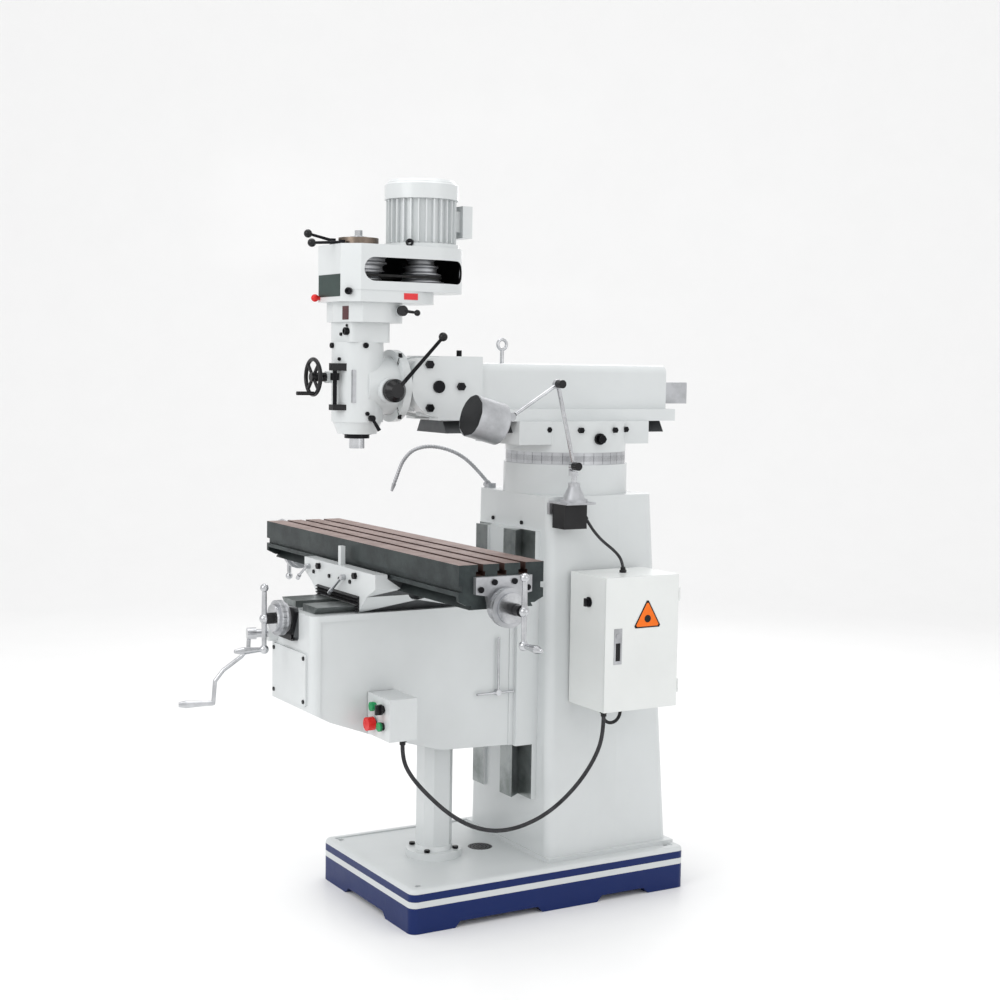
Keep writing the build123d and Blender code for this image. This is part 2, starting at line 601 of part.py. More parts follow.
# ---------------------------------------------------------------- saddle and table
def saddle_casting():
    """Saddle: dovetail below for the knee, dovetail above for the table, raised front."""
    ring = mirrored([(130, KNEE_TOP + FIT), (185, 944), (SADDLE_HALF, 972), (SADDLE_HALF, TABLE_BOTTOM - FIT)])
    body = prism("y", ring, SADDLE_FRONT, SADDLE_BACK)
    lift = mirrored([(210, 968), (SADDLE_HALF, 990), (SADDLE_HALF, 1012)])
    body += prism("y", lift, SADDLE_FRONT, TABLE_Y - TABLE_W / 2 - 5)
    grown = [(RIDGE_NECK + FLANK, KNEE_TOP), (RIDGE_NECK + FLANK, KNEE_TOP + FIT),
             (RIDGE_WIDE + FLANK, RIDGE_TOP + FIT)]
    body -= prism("y", mirrored(grown), SADDLE_FRONT - 1, SADDLE_BACK + 1)
    cut = [(TABLE_Y + p, q) for p, q in mirrored(
        [(TAIL_NECK + FLANK, TABLE_BOTTOM), (TAIL_WIDE + FLANK, TAIL_BOTTOM - FIT)])]
    body -= prism("x", cut, -SADDLE_HALF - 1, SADDLE_HALF + 1)
    body -= drum("x", (TABLE_Y, LONG_Z), -SADDLE_HALF - 1, SADDLE_HALF + 1, 19)
    for side in (-1, 1):
        body -= drum("x", (TABLE_Y, LONG_Z), side * 140, side * 241, 46)
    body += block(-38, 38, TABLE_Y - 19, TABLE_Y + 19, 940, LONG_Z + 12)
    body -= drum("x", (TABLE_Y, LONG_Z), -40, 40, 14 + FIT)
    body += block(-22, 22, -330, -280, CROSS_Z - 18, 930)
    body -= drum("y", (0, CROSS_Z), -340, -270, 12 + FIT)
    return body


def table_stop():
    """Stop post on the saddle's front with the two hexagon gib screws."""
    front = SADDLE_FRONT
    pieces = [block(-28, -10, front + 12, front + 26, 1012, 1066)]
    for x in (-131, 115):
        pieces.append(hex_head("y", (x, 996), front - 10, front, 17))
    for x in (-170, -60, 10, 80):
        pieces.append(drum("y", (x, 975), front - 4, front, 6))
    return join(pieces)


def way_cover():
    """Pleated rubber cover below the saddle's front edge."""
    pleats = []
    for k in range(5):
        z = KNEE_TOP + 3.2 + 9 * k
        pleats += [(SADDLE_FRONT - 2, z), (SADDLE_FRONT - 10, z + 4.5)]
    ring = pleats + [(SADDLE_FRONT - 2, KNEE_TOP + 48), (SADDLE_FRONT, KNEE_TOP + 48),
                     (SADDLE_FRONT, KNEE_TOP + 3.2)]
    sheet = prism("x", ring, -140, 140)
    return sheet - block(-RIDGE_WIDE - 2, RIDGE_WIDE + 2, SADDLE_FRONT - 20, SADDLE_FRONT + 1,
                         KNEE_TOP, RIDGE_TOP + 2)


def table_lock(x, z, tip_x, tip_z):
    """Clamp lever on the saddle's front."""
    face = SADDLE_FRONT - GAP
    tip = (tip_x, face - 20, tip_z)
    grip = Vector(tip_x - x, 0, tip_z - z).normalized() * 16
    shape = drum("y", (x, z), face - 14, face, 8)
    shape += bar((x, face - 10, z), tip, 4)
    return shape + bar(tip, (tip_x + grip.X, face - 20, tip_z + grip.Z), 6.5)


def table_casting():
    """Table: three T-slots, a groove along each edge and a dovetail below."""
    y0, y1 = TABLE_Y - TABLE_W / 2, TABLE_Y + TABLE_W / 2
    body = block(-TABLE_HALF, TABLE_HALF, y0, y1, TABLE_BOTTOM, TABLE_TOP)
    reach = TABLE_HALF + 1
    body += prism("x", [(TABLE_Y + p, q) for p, q in mirrored(
        [(TAIL_NECK, TABLE_BOTTOM + 1), (TAIL_NECK, TABLE_BOTTOM), (TAIL_WIDE, TAIL_BOTTOM)])],
        -TABLE_HALF, TABLE_HALF)
    for k in (-1, 0, 1):
        y = TABLE_Y + k * SLOT_PITCH
        floor = TABLE_TOP - SLOT_DEPTH
        body -= block(-reach, reach, y - SLOT_NECK / 2, y + SLOT_NECK / 2, floor, TABLE_TOP + 1)
        body -= block(-reach, reach, y - SLOT_TEE / 2, y + SLOT_TEE / 2, floor, floor + TEE_HEIGHT)
    for low, high in ((y0 - 1, y0 + 9), (y1 - 9, y1 + 1)):
        body -= block(-reach, reach, low, high, 1012, 1028)
    body -= block(-reach, reach, TABLE_Y - 24, TABLE_Y + 24, TAIL_BOTTOM - 1, 996)
    for side in (-1, 1):
        ring = [(y0, TABLE_BOTTOM + 1), (y0, 988), (y0 + 26, 975), (y1 - 26, 975), (y1, 988), (y1, TABLE_BOTTOM + 1)]
        end = prism("x", ring, side * (TABLE_HALF - 12), side * TABLE_HALF)
        body += end - drum("x", (TABLE_Y, LONG_Z), -TABLE_HALF, TABLE_HALF, 30)
    return body


def table_brackets():
    """Bearing bracket at each end of the table, each with four screws."""
    pieces = []
    for side in (-1, 1):
        x0, x1, x2 = side * TABLE_HALF, side * (TABLE_HALF + 14), side * (TABLE_HALF + 26)
        ring = [(TABLE_Y - 84, 1050), (TABLE_Y - 84, 1006), (TABLE_Y - 50, 1000), (TABLE_Y - 40, 960),
                (TABLE_Y + 40, 960), (TABLE_Y + 50, 1000), (TABLE_Y + 84, 1006), (TABLE_Y + 84, 1050)]
        body = prism("x", ring, x0, x1)
        body += drum("x", (TABLE_Y, LONG_Z), x0, x2, 44)
        body -= drum("x", (TABLE_Y, LONG_Z), x0 - side, x2 + side, 14 + FIT)
        for y, z in ((-70, 1018), (-30, 1036), (30, 1036), (70, 1018)):
            body += drum("x", (TABLE_Y + y, z), x1, x1 + side * 5, 8)
        pieces.append(body)
    return join(pieces)


def long_crank():
    """Long screw with a dial and a ball crank at each end."""
    face = TABLE_HALF + 26
    shape = drum("x", (TABLE_Y, LONG_Z), -face - 1, face + 1, 14)
    for side in (-1, 1):
        unit = dial_stack(52)
        unit += Pos(0, -52, 0) * drum("y", (0, 0), -24, 0, 15)
        unit += Pos(0, -89, 0) * ball_crank(-side)
        shape += Pos(side * face, TABLE_Y, LONG_Z) * Rot(0, 0, side * 90) * unit
    return shape


# ---------------------------------------------------------------- turret and ram
def turret_casting():
    """Turret: graduated ring, round body and the way block, with its clamp bolts."""
    body = drum("z", (0, TURRET_Y), SEAT_TOP + FIT, RING_TOP, RING_R)
    body += drum("z", (0, TURRET_Y), RING_TOP, RAM_BOTTOM - FIT, TURRET_R)
    body += block(-130, 130, -45, 420, 1358, RAM_BOTTOM - FIT)
    body += drum("z", (0, TURRET_Y), SEAT_TOP - 30, SEAT_TOP + 1, 110 - FIT)
    cut = mirrored([(TAIL_RAM_NECK + FLANK, RAM_BOTTOM), (TAIL_RAM_WIDE + FLANK, TAIL_RAM_Z - FIT)])
    body -= prism("y", cut, -46, 421)
    body -= drum("z", (0, TURRET_Y), SEAT_TOP - 31, 1345, 84)
    body -= drum("x", (TURRET_Y, PINION_Z), -30, 30, PINION_R + 2)
    body -= drum("x", (TURRET_Y, PINION_Z), 0, TURRET_R + 20, 9 + FIT)
    bolts = []
    for y in (60, 140, 262, 330):
        x = math.sqrt(TURRET_R ** 2 - (y - TURRET_Y) ** 2) - 3
        bolts.append(hex_head("x", (y, 1402), x, x + 13, 16))
    return join([body, *[bolt - body for bolt in bolts]])


def ram_pinion():
    """Pinion under the ram, its shaft and the hexagon knob on the turret's side."""
    shape = drum("x", (TURRET_Y, PINION_Z), -28, 28, PINION_R)
    shape += drum("x", (TURRET_Y, PINION_Z), 28, TURRET_R + 1, 9)
    shape += drum("x", (TURRET_Y, PINION_Z), TURRET_R + 1, TURRET_R + 10, 17)
    return shape + hex_head("x", (TURRET_Y, PINION_Z), TURRET_R + 10, TURRET_R + 24, 22)


def ram_casting():
    """Hollow ram: rounded box, wide lip and the dovetail that slides in the turret."""
    upper = block(-RAM_HALF, RAM_HALF, RAM_FRONT, RAM_REAR, RAM_LIP, RAM_TOP)
    upper = fillet(upper.edges().filter_by(Axis.Y).group_by(Axis.Z)[-1], 24)
    body = upper + block(-118, 118, RAM_FRONT, RAM_REAR + 18, RAM_BOTTOM, RAM_LIP)
    ring = mirrored([(TAIL_RAM_NECK, RAM_BOTTOM + 1), (TAIL_RAM_NECK, RAM_BOTTOM), (TAIL_RAM_WIDE, TAIL_RAM_Z)])
    body += prism("y", ring, -269, RAM_REAR - 7)
    body -= block(-66, 66, RAM_FRONT + 24, RAM_REAR + 20, 1440, RAM_TOP - 24)
    body += block(-80, 80, RAM_REAR - 20, RAM_REAR, 1450, RAM_TOP - 20)
    return body


def ram_adapter():
    """Forked adapter bolted to the ram's front; its cheeks carry the nod pivot."""
    ring = [(PIVOT_Y, HEAD_Z - 97), (RAM_FRONT, HEAD_Z - 97), (RAM_FRONT, HEAD_Z + 88), (PIVOT_Y, HEAD_Z + 88)]
    body = prism("x", ring, -CHEEK_HALF, CHEEK_HALF)
    body += drum("x", (PIVOT_Y, HEAD_Z), -CHEEK_HALF, CHEEK_HALF, CHEEK_R)
    body += prism("x", [(-344, 1444), (-262, 1427.5), (-262, 1450), (-344, 1470)], -72, 72)
    body -= block(-TONGUE_HALF - FIT, TONGUE_HALF + FIT, -400, PIVOT_Y + 100, 1400, 1640)
    body -= drum("x", (PIVOT_Y, HEAD_Z), -CHEEK_HALF - 1, CHEEK_HALF + 1, 18)
    body -= block(-200, 200, -400, -100, 1380, RAM_BOTTOM + 3)
    return body


def ram_fittings():
    """Nod pivot pin, clamp bolts, lifting eye and the ram's rear stop block."""
    pin = drum("x", (PIVOT_Y, HEAD_Z), -CHEEK_HALF - 7, CHEEK_HALF + 7, 18)
    pieces = [pin]
    for side in (-1, 1):
        x = side * CHEEK_HALF
        for y, z in ((-332, 1590), (-330, 1466), (-228, 1528)):
            pieces.append(hex_head("x", (y, z), x, x + side * 11, 22))
    pieces.append(drum("z", (0, -179), HEAD_Z + 88, HEAD_Z + 106, 8))
    pieces.append(block(-26, 26, RAM_REAR, 640, 1478, 1545))
    eye = drum("z", (0, -32), RAM_TOP, RAM_TOP + 40, 6)
    eye += Pos(0, -32, RAM_TOP + 56) * Rot(0, 90, 0) * Torus(15, 5)
    pieces.append(eye)
    return join(pieces)


def nod_knuckle():
    """Tongue that nods between the cheeks, with the round flange that carries the head."""
    body = drum("x", (PIVOT_Y, HEAD_Z), -TONGUE_HALF, TONGUE_HALF, 82)
    body += block(-TONGUE_HALF, TONGUE_HALF, FLANGE_Y + 4, PIVOT_Y, HEAD_Z - 72, HEAD_Z + 72)
    body += drum("y", (0, HEAD_Z), FLANGE_Y, FLANGE_Y + 10, FLANGE_R)
    body += drum("y", (0, HEAD_Z), FLANGE_Y - 10, FLANGE_Y, 50)
    return body - drum("x", (PIVOT_Y, HEAD_Z), -60, 60, 18 + FIT)


# ---------------------------------------------------------------- head
def head_plan(front_y, half_front, rear_y, rear_r, corner, low, high):
    """Head housing slab: flat front, slanted front corners and a round rear end."""
    body = prism("z", mirrored([(half_front, front_y), (rear_r, front_y + corner), (rear_r, rear_y)]), low, high)
    return body + drum("z", (0, rear_y), low, high, rear_r)


def head_casting():
    """Quill housing, round barrel and the tilt flange."""
    body = drum("z", (0, SPINDLE_Y), 1424, NECK_TOP, HOUSING_R)
    body += drum("z", (0, SPINDLE_Y), 1390, 1424, 56, 70)
    body += drum("y", (0, HEAD_Z), SPINDLE_Y, -409, BARREL_R)
    body += drum("y", (0, HEAD_Z), -410, FLANGE_Y - FIT, FLANGE_R)
    body += drum("x", (FEED_Y, FEED_Z), 12, 104, 36)
    body += drum("y", (-30, 1550), -596, -560, 17)
    body -= drum("z", (0, SPINDLE_Y), 1380, NECK_TOP + 1, QUILL_R + FIT)
    body -= drum("y", (0, HEAD_Z), FLANGE_Y - 11, FLANGE_Y + 1, 50 + FIT)
    body -= drum("x", (FEED_Y, FEED_Z), -22, 22, 20)
    body -= drum("x", (FEED_Y, FEED_Z), -24, 110, 10 + FIT)
    body -= drum("y", (-30, 1550), -600, -563, 8 + FIT)
    for side in (-1, 1):
        for up in (-1, 1):
            body += drum("z", (side * 60, -404), HEAD_Z + up * 78, HEAD_Z + up * 94, 5.5)
    return body


def gear_housing():
    """Feed and speed gear casings between the neck and the belt housing."""
    lower = block(-70, 70, -566, -438, NECK_TOP, 1706)
    lower = fillet(lower.edges().filter_by(Axis.Z), 14)
    upper = head_plan(-573, 75, -480, 100, 30, 1706, GEAR_TOP)
    body = lower + upper
    body += drum("x", (-420, 1740), 50, 96, 15)
    body -= drum("z", (0, SPINDLE_Y), NECK_TOP - 1, GEAR_TOP + 1, QUILL_R + 4)
    body -= drum("x", (-420, 1740), 60, 97, 6 + FIT)
    return body


def belt_housing():
    """Hollow pulley housing with a belt window on its right side, and its top bearing cap."""
    tray = head_plan(-600, 76, -400, 118, 42, GEAR_TOP, TRAY_TOP)
    upper = head_plan(-600, 76, MOTOR_Y, 120, 42, TRAY_TOP, BELT_TOP)
    body = tray + upper
    body -= head_plan(-592, 70, MOTOR_Y, 112, 40, TRAY_TOP + 6, BELT_TOP - 8)
    body -= drum("z", (0, SPINDLE_Y), GEAR_TOP - 1, TRAY_TOP + 10, 30 + FIT)
    body -= drum("z", (0, SPINDLE_Y), BELT_TOP - 10, BELT_TOP + 1, 40)
    body -= drum("z", (0, MOTOR_Y), BELT_TOP - 10, BELT_TOP + 1, 70)
    window = block(60, 130, -515, -246, 1820, 1886)
    for y in (-515, -246):
        window += drum("x", (y, 1853), 60, 130, 33)
    body -= window
    cap = drum("z", (0, SPINDLE_Y), BELT_TOP, BELT_TOP + 22, 57)
    cap += drum("z", (0, SPINDLE_Y), BELT_TOP - 8, BELT_TOP, 40)
    cap -= drum("z", (0, SPINDLE_Y), BELT_TOP - 9, BELT_TOP + 30, 24 + FIT)
    for k in range(6):
        angle = math.radians(60 * k + 30)
        spot = (42 * math.cos(angle), SPINDLE_Y + 42 * math.sin(angle))
        cap -= drum("z", spot, BELT_TOP + 12, BELT_TOP + 23, 5)
    return join([body, cap])


def motor():
    """Finned motor with its mounting flange, fan cowl and terminal box."""
    body = drum("z", (0, MOTOR_Y), BELT_TOP, BELT_TOP + 12, 110)
    body += drum("z", (0, MOTOR_Y), BELT_TOP + 12, MOTOR_TOP - 6, MOTOR_R - 8)
    fins = 28
    for k in range(fins):
        fin = block(MOTOR_R - 12, MOTOR_R + 4, -2, 2, BELT_TOP + 16, MOTOR_TOP - 8)
        body += Pos(0, MOTOR_Y, 0) * Rot(0, 0, 360 * (k + 0.5) / fins) * fin
    body -= drum("z", (0, MOTOR_Y), BELT_TOP - 1, MOTOR_TOP - 18, 72)
    body -= drum("z", (0, MOTOR_Y), MOTOR_TOP - 19, MOTOR_TOP, 12 + FIT)
    body += block(-30, 30, MOTOR_Y + 86, MOTOR_Y + 112, 1975, 2035)
    box = block(-46, 46, MOTOR_Y + 112, MOTOR_Y + 144, 1958, 2050)
    cowl = drum("z", (0, MOTOR_Y), MOTOR_TOP - 6, MOTOR_TOP + 36, 107)
    cowl = cowl + drum("z", (0, MOTOR_Y), MOTOR_TOP + 36, MOTOR_TOP + 50, 107, 92)
    cowl -= drum("z", (0, MOTOR_Y), MOTOR_TOP - 7, MOTOR_TOP + 42, 101)
    cowl += drum("z", (0, MOTOR_Y), MOTOR_TOP - 6, MOTOR_TOP - 2, 104) - drum(
        "z", (0, MOTOR_Y), MOTOR_TOP - 7, MOTOR_TOP, 60)
    for ring, count in ((30, 8), (52, 14), (74, 20)):
        for k in range(count):
            angle = 2 * math.pi * k / count
            spot = (ring * math.cos(angle), MOTOR_Y + ring * math.sin(angle))
            cowl -= drum("z", spot, MOTOR_TOP + 30, MOTOR_TOP + 60, 5)
    return join([body, box, cowl])


def step_pulley(y, radii):
    """Four-step V-belt pulley."""
    points = [(14, PULLEY_BASE - 2)]
    for k, radius in enumerate(radii):
        low = PULLEY_BASE + k * STEP_H
        points += [(radius + 6, low), (radius + 6, low + 2), (radius, low + 7),
                   (radius, low + 15), (radius + 6, low + 20), (radius + 6, low + STEP_H)]
    points.append((14, PULLEY_BASE + 4 * STEP_H))
    cleaned = [points[0]]
    for point in points[1:]:
        if point != cleaned[-1]:
            cleaned.append(point)
    face = Face(Wire.make_polygon([Vector(p, 0, q) for p, q in cleaned], close=True))
    return Pos(0, y, 0) * Part(Solid.revolve(face, 360, Axis.Z).wrapped)


def motor_pulley():
    """Motor shaft with its rotor, fan and step pulley."""
    shape = step_pulley(MOTOR_Y, MOTOR_STEPS) + drum("z", (0, MOTOR_Y), PULLEY_BASE - 4, MOTOR_TOP + 20, 12)
    shape += drum("z", (0, MOTOR_Y), PULLEY_BASE, PULLEY_BASE + 80, 15)
    shape += drum("z", (0, MOTOR_Y), BELT_TOP + 20, MOTOR_TOP - 30, 68)
    fan = drum("z", (0, MOTOR_Y), MOTOR_TOP + 6, MOTOR_TOP + 12, 40)
    for k in range(8):
        blade = block(20, 88, -1.5, 1.5, MOTOR_TOP + 4, MOTOR_TOP + 24)
        fan += Pos(0, MOTOR_Y, 0) * Rot(0, 0, 45 * k) * blade
    return shape + fan


def spindle_pulley():
    """Spindle pulley with the splined hub sleeve that the spindle slides in."""
    shape = step_pulley(SPINDLE_Y, SPINDLE_STEPS)
    shape += drum("z", (0, SPINDLE_Y), GEAR_TOP + 4, BELT_TOP + 26, 24)
    shape += drum("z", (0, SPINDLE_Y), GEAR_TOP + 4, PULLEY_BASE - 2, 30)
    return shape - drum("z", (0, SPINDLE_Y), GEAR_TOP, BELT_TOP + 40, 14 + FIT)


def drive_belt():
    """V-belt round the two pulleys, standing in their grooves."""
    low = PULLEY_BASE + BELT_STEP * STEP_H
    r_spindle = SPINDLE_STEPS[BELT_STEP] + 0.5
    r_motor = MOTOR_STEPS[BELT_STEP] + 0.5
    reach = MOTOR_Y - SPINDLE_Y
    lean = math.asin((r_spindle - r_motor) / reach)

    def loop(extra, z0, z1):
        a, b = r_spindle + extra, r_motor + extra
        side = [(a * math.cos(lean), SPINDLE_Y + a * math.sin(lean)),
                (b * math.cos(lean), MOTOR_Y + b * math.sin(lean))]
        shape = prism("z", mirrored(side), z0, z1)
        return shape + drum("z", (0, SPINDLE_Y), z0, z1, a) + drum("z", (0, MOTOR_Y), z0, z1, b)

    return loop(7, low + 7.5, low + 14.5) - loop(0, low, low + STEP_H)


def quill():
    """Quill sleeve with a flat for the feed rack and its lower ring."""
    shape = drum("z", (0, SPINDLE_Y), QUILL_END + 14, 1640, QUILL_R)
    shape += drum("z", (0, SPINDLE_Y), QUILL_END, QUILL_END + 12, 36)
    shape += drum("z", (0, SPINDLE_Y), QUILL_END + 11, QUILL_END + 15, 42)
    shape -= block(-30, 30, SPINDLE_Y + 43, SPINDLE_Y + 50, 1420, 1641)
    return shape - drum("z", (0, SPINDLE_Y), QUILL_END - 1, 1641, 22 + FIT)


def spindle():
    """Spindle with its taper nose, the long drive shank and the drawbar head."""
    shape = drum("z", (0, SPINDLE_Y), NOSE_END, 1600, 22)
    shape += drum("z", (0, SPINDLE_Y), 1600, 1950, 14)
    shape -= drum("z", (0, SPINDLE_Y), NOSE_END - 1, NOSE_END + 24, 16.2, 12.07)
    shape -= drum("z", (0, SPINDLE_Y), NOSE_END + 20, NOSE_END + 102, 12.07)
    shape += hex_head("z", (0, SPINDLE_Y), 1950, 1966, 19)
    return shape


def feed_lever():
    """Quill feed: pinion, shaft, round hub and the ball lever."""
    shape = drum("x", (FEED_Y, FEED_Z), -20, 20, 18.7)
    shape += drum("x", (FEED_Y, FEED_Z), 20, 106, 10)
    shape += drum("x", (FEED_Y, FEED_Z), 104 + GAP, 120, 33)
    shape += drum("x", (FEED_Y, FEED_Z), 120, 136, 33, 20)
    shape += bar((126, FEED_Y, FEED_Z), (140, -316, 1661), 6, 5)
    return shape + ball((140, -309, 1669), 13)


def fine_feed_wheel():
    """Fine-feed handwheel: rim, four spokes, hub and handle."""
    x, z, y = -30, 1550, -634
    rim = Pos(x, y, z) * Rot(90, 0, 0) * Torus(50, 6)
    shape = rim + drum("y", (x, z), y - 8, -596 - GAP, 13)
    for k in range(4):
        angle = math.radians(45 + 90 * k)
        shape += bar((x, y, z), (x + 50 * math.cos(angle), y, z + 50 * math.sin(angle)), 5)
    shape += drum("y", (x, z), -597, -575, 8)
    spot = (x + 18, z - 46)
    grip = drum("y", spot, y - 58, y - 6.5, 5.5) + drum("y", spot, y - 7, y + 6, 3)
    return join([shape - drum("y", spot, y - 10, y + 10, 3), grip])


STOP_X, STOP_Y = 34, -596


def depth_stop():
    """Depth-stop brackets, the threaded rod between them and the scale bar."""
    pieces = []
    for z0, z1 in ((1569, 1590), (1458, 1474)):
        bracket = block(STOP_X - 14, STOP_X + 14, STOP_Y - 12, -560, z0, z1)
        bracket -= drum("z", (0, SPINDLE_Y), z0 - 1, z1 + 1, HOUSING_R)
        pieces.append(bracket)
    pieces.append(drum("z", (STOP_X, STOP_Y), 1474, 1569, 6))
    bar_piece = block(58, 66, -556, -545, 1480, 1572)
    pieces.append(bar_piece - drum("z", (0, SPINDLE_Y), 1400, 1600, HOUSING_R))
    return join(pieces)


def depth_stop_nut():
    """Knurled stop nut on the rod."""
    nut = drum("z", (STOP_X, STOP_Y), 1542, 1562, 13)
    return nut - drum("z", (STOP_X, STOP_Y), 1540, 1566, 6 + FIT)


def top_lever(pivot, tip, hub_top):
    """A ball lever on the belt housing's top."""
    x, y = pivot
    shape = drum("z", (x, y), BELT_TOP + GAP, hub_top, 9)
    shape += bar((x, y, hub_top - 6), tip, 4.5, 4)
    return shape + ball(tip, 12)


def gear_lever():
    """Speed-range lever on the gear housing's right side."""
    shape = drum("x", (-420, 1740), 62, 97, 6)
    shape += drum("x", (-420, 1740), 96 + GAP, 108, 15)
    shape += bar((103, -420, 1740), (112, -384, 1736), 4.5, 4)
    return shape + ball((112, -378, 1735), 9)


def quill_lock():
    """Quill clamp lever low on the housing's right side."""
    y, z, face = SPINDLE_Y + 8, 1436, 74 + GAP
    shape = drum("x", (y, z), face, face + 13, 9)
    return shape + bar((face + 9, y, z), (face + 14, y + 20, z - 34), 4.5, 5.5)


def feed_knob():
    """Round pull knob on the belt housing's front."""
    shape = drum("y", (-66, 1774), -606, -600 - GAP, 6)
    return shape + ball((-66, -614, 1774), 11)


# ---------------------------------------------------------------- lamp
def lamp_bracket():
    """Bracket plate on the column, the bell-shaped socket and the switch box below."""
    y, z = LAMP_BASE
    plate = block(206, 306, y - 50, y + 50, z - 6, z)
    plate += block(198, 212, y - 50, y + 50, z - 40, z - 6)
    plate -= column_block(0, DECK_Z, COL_TOP)
    bell = drum("z", (LAMP_X, y - 4), z, z + 8, 40) + drum("z", (LAMP_X, y - 4), z + 8, z + 46, 34, 17)
    bell += drum("z", (LAMP_X, y - 4), z + 46, z + 56, 17)
    bell -= drum("z", (LAMP_X, y - 4), z + 10, z + 57, 8 + FIT)
    box = block(219, 285, y - 44, y + 33, z - 78, z - 6)
    gland = cable_stub(LAMP_CORD_ROUTE[0], LAMP_CORD_ROUTE[1], 18, 7)
    return join([plate, bell, box + gland])


def lamp_stem():
    """Swivel stem in the bell, with the fork of the first joint."""
    y, z = LAMP_BASE
    y1, z1 = LAMP_J1
    shape = drum("z", (LAMP_X, y - 4), z + 12, z1 - 16, 8)
    shape += block(LAMP_X - 9, LAMP_X - 4, y1 - 10, y1 + 12, z1 - 22, z1 + 11)
    shape += block(LAMP_X - 9, LAMP_X + 9, y1 - 10, y1 + 12, z1 - 28, z1 - 16)
    return shape - drum("x", (y1, z1), LAMP_X - 12, LAMP_X + 12, 4 + FIT)


def lamp_arm(start, end, thick):
    """A lamp arm in the plane x = LAMP_X, with its joint eye and clamp knob at the start."""
    ys, zs = start
    ye, ze = end
    line = Vector(0, ye - ys, ze - zs).normalized()
    a = Vector(LAMP_X + 3, ys, zs)
    b = Vector(LAMP_X + 3, ye, ze) - line * 16
    shape = bar(a + line * 10, b, thick)
    eye = drum("x", start, LAMP_X - 4 + GAP, LAMP_X + 9, 14) + drum("x", start, LAMP_X + 9, LAMP_X + 30, 12)
    shape += eye + drum("x", start, LAMP_X - 9, LAMP_X, 4)
    fork = drum("x", end, LAMP_X - 9, LAMP_X - 4, 11)
    web = bar(b - line * 2, b + line * 1, thick) + bar(b, Vector(LAMP_X - 6, ye, ze) - line * 6, 5)
    shape += fork + web - drum("x", end, LAMP_X - 4, LAMP_X + 12, 15)
    return shape - drum("x", end, LAMP_X - 12, LAMP_X + 12, 4 + FIT)


def lamp_head():
    """Cylindrical lamp head with its front bezel and joint."""
    y0, z0 = LAMP_J3
    y1, z1 = LAMP_HEAD
    aim = Vector(0, -math.cos(math.radians(15)), math.sin(math.radians(15)))
    middle = Vector(LAMP_X, y1, z1)
    shape = bar(middle - aim * 44, middle + aim * 50, 60)
    shape += bar(middle - aim * 52, middle - aim * 44, 50, 60)
    shape -= bar(middle - aim * 40, middle + aim * 44, 56)
    shape += bar(middle + aim * 36, middle + aim * 40, 57)
    eye = drum("x", LAMP_J3, LAMP_X - 4 + GAP, LAMP_X + 9, 12) + drum("x", LAMP_J3, LAMP_X - 9, LAMP_X, 4)
    link = bar(Vector(LAMP_X + 3, y0, z0) + aim * 8, middle - aim * 50, 5)
    return shape + eye + link


# ---------------------------------------------------------------- build
def build():
    save("base_casting", base_casting())
    save("drain_screen", drain_screen())
    save("column_casting", column_casting())
    save("elevating_pedestal", elevating_pedestal())
    save("frame_bolts", frame_bolts())
    save("cabinet_shell", cabinet_shell())
    save("cabinet_fittings", cabinet_fittings())
    save("cabinet_door", cabinet_door())
    save("main_switch", main_switch())
    save("control_cable", cord("control_cable", CONTROL_ROUTE, CABLE_R))
    save("lamp_cable", cord("lamp_cable", LAMP_CORD_ROUTE, LAMP_CORD_R))
    save("coolant_hose", coolant_hose())
    save("knee_casting", knee_casting())
    save("knee_fittings", knee_fittings())
    save("cross_crank", cross_crank())
    save("knee_crank", knee_crank())
    save("elevating_screw", elevating_screw())
    save("control_box", control_box())
    save("start_button", push_button("start_button", 13, 15))
    save("coolant_button", push_button("coolant_button", 13, 15))
    save("stop_button", push_button("stop_button", 19, 28))
    save("direction_switch", direction_switch())
    save("knee_lock", knee_lock())
    save("saddle_casting", saddle_casting())
    save("table_stop", table_stop())
    save("way_cover", way_cover())
    save("table_lock_left", table_lock(-202, 987, -232, 958))
    save("table_lock_right", table_lock(44, 984, -4, 942))
    save("table_casting", table_casting())
    save("table_brackets", table_brackets())
    save("long_crank", long_crank())
    save("turret_casting", turret_casting())
    save("ram_pinion", ram_pinion())
    save("ram_casting", ram_casting())
    save("ram_adapter", ram_adapter())
    save("ram_fittings", ram_fittings())
    save("nod_knuckle", nod_knuckle())
    save("head_casting", head_casting())
    save("gear_housing", gear_housing())
    save("belt_housing", belt_housing())
    save("motor", motor())
    save("motor_pulley", motor_pulley())
    save("spindle_pulley", spindle_pulley())
    save("drive_belt", drive_belt())
    save("quill", quill())
    save("spindle", spindle())
    save("feed_lever", feed_lever())
    save("fine_feed_wheel", fine_feed_wheel())
    save("depth_stop", depth_stop())
    save("depth_stop_nut", depth_stop_nut())
    save("brake_lever", top_lever((-35, -574), (-35, -650, 1952), BELT_TOP + 20))
    save("clutch_lever", top_lever((32, -576), (32, -668, 1922), BELT_TOP + 12))
    save("gear_lever", gear_lever())
    save("quill_lock", quill_lock())
    save("feed_knob", feed_knob())
    save("lamp_bracket", lamp_bracket())
    save("lamp_stem", lamp_stem())
    save("lamp_lower_arm", lamp_arm(LAMP_J1, LAMP_J2, 6))
    save("lamp_upper_arm", lamp_arm(LAMP_J2, LAMP_J3, 5.5))
    save("lamp_head", lamp_head())


build()
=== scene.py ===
"""Turret milling machine: finishes, fine pieces, cords, camera and studio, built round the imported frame.

Everything is in metres in the machine's own frame: +X is the operator's right, +Y runs from the
operator towards the column and +Z is up, with the origin on the floor under the base.
"""
import logging
import math
from dataclasses import dataclass
from enum import Enum
from typing import Callable, Optional, Sequence

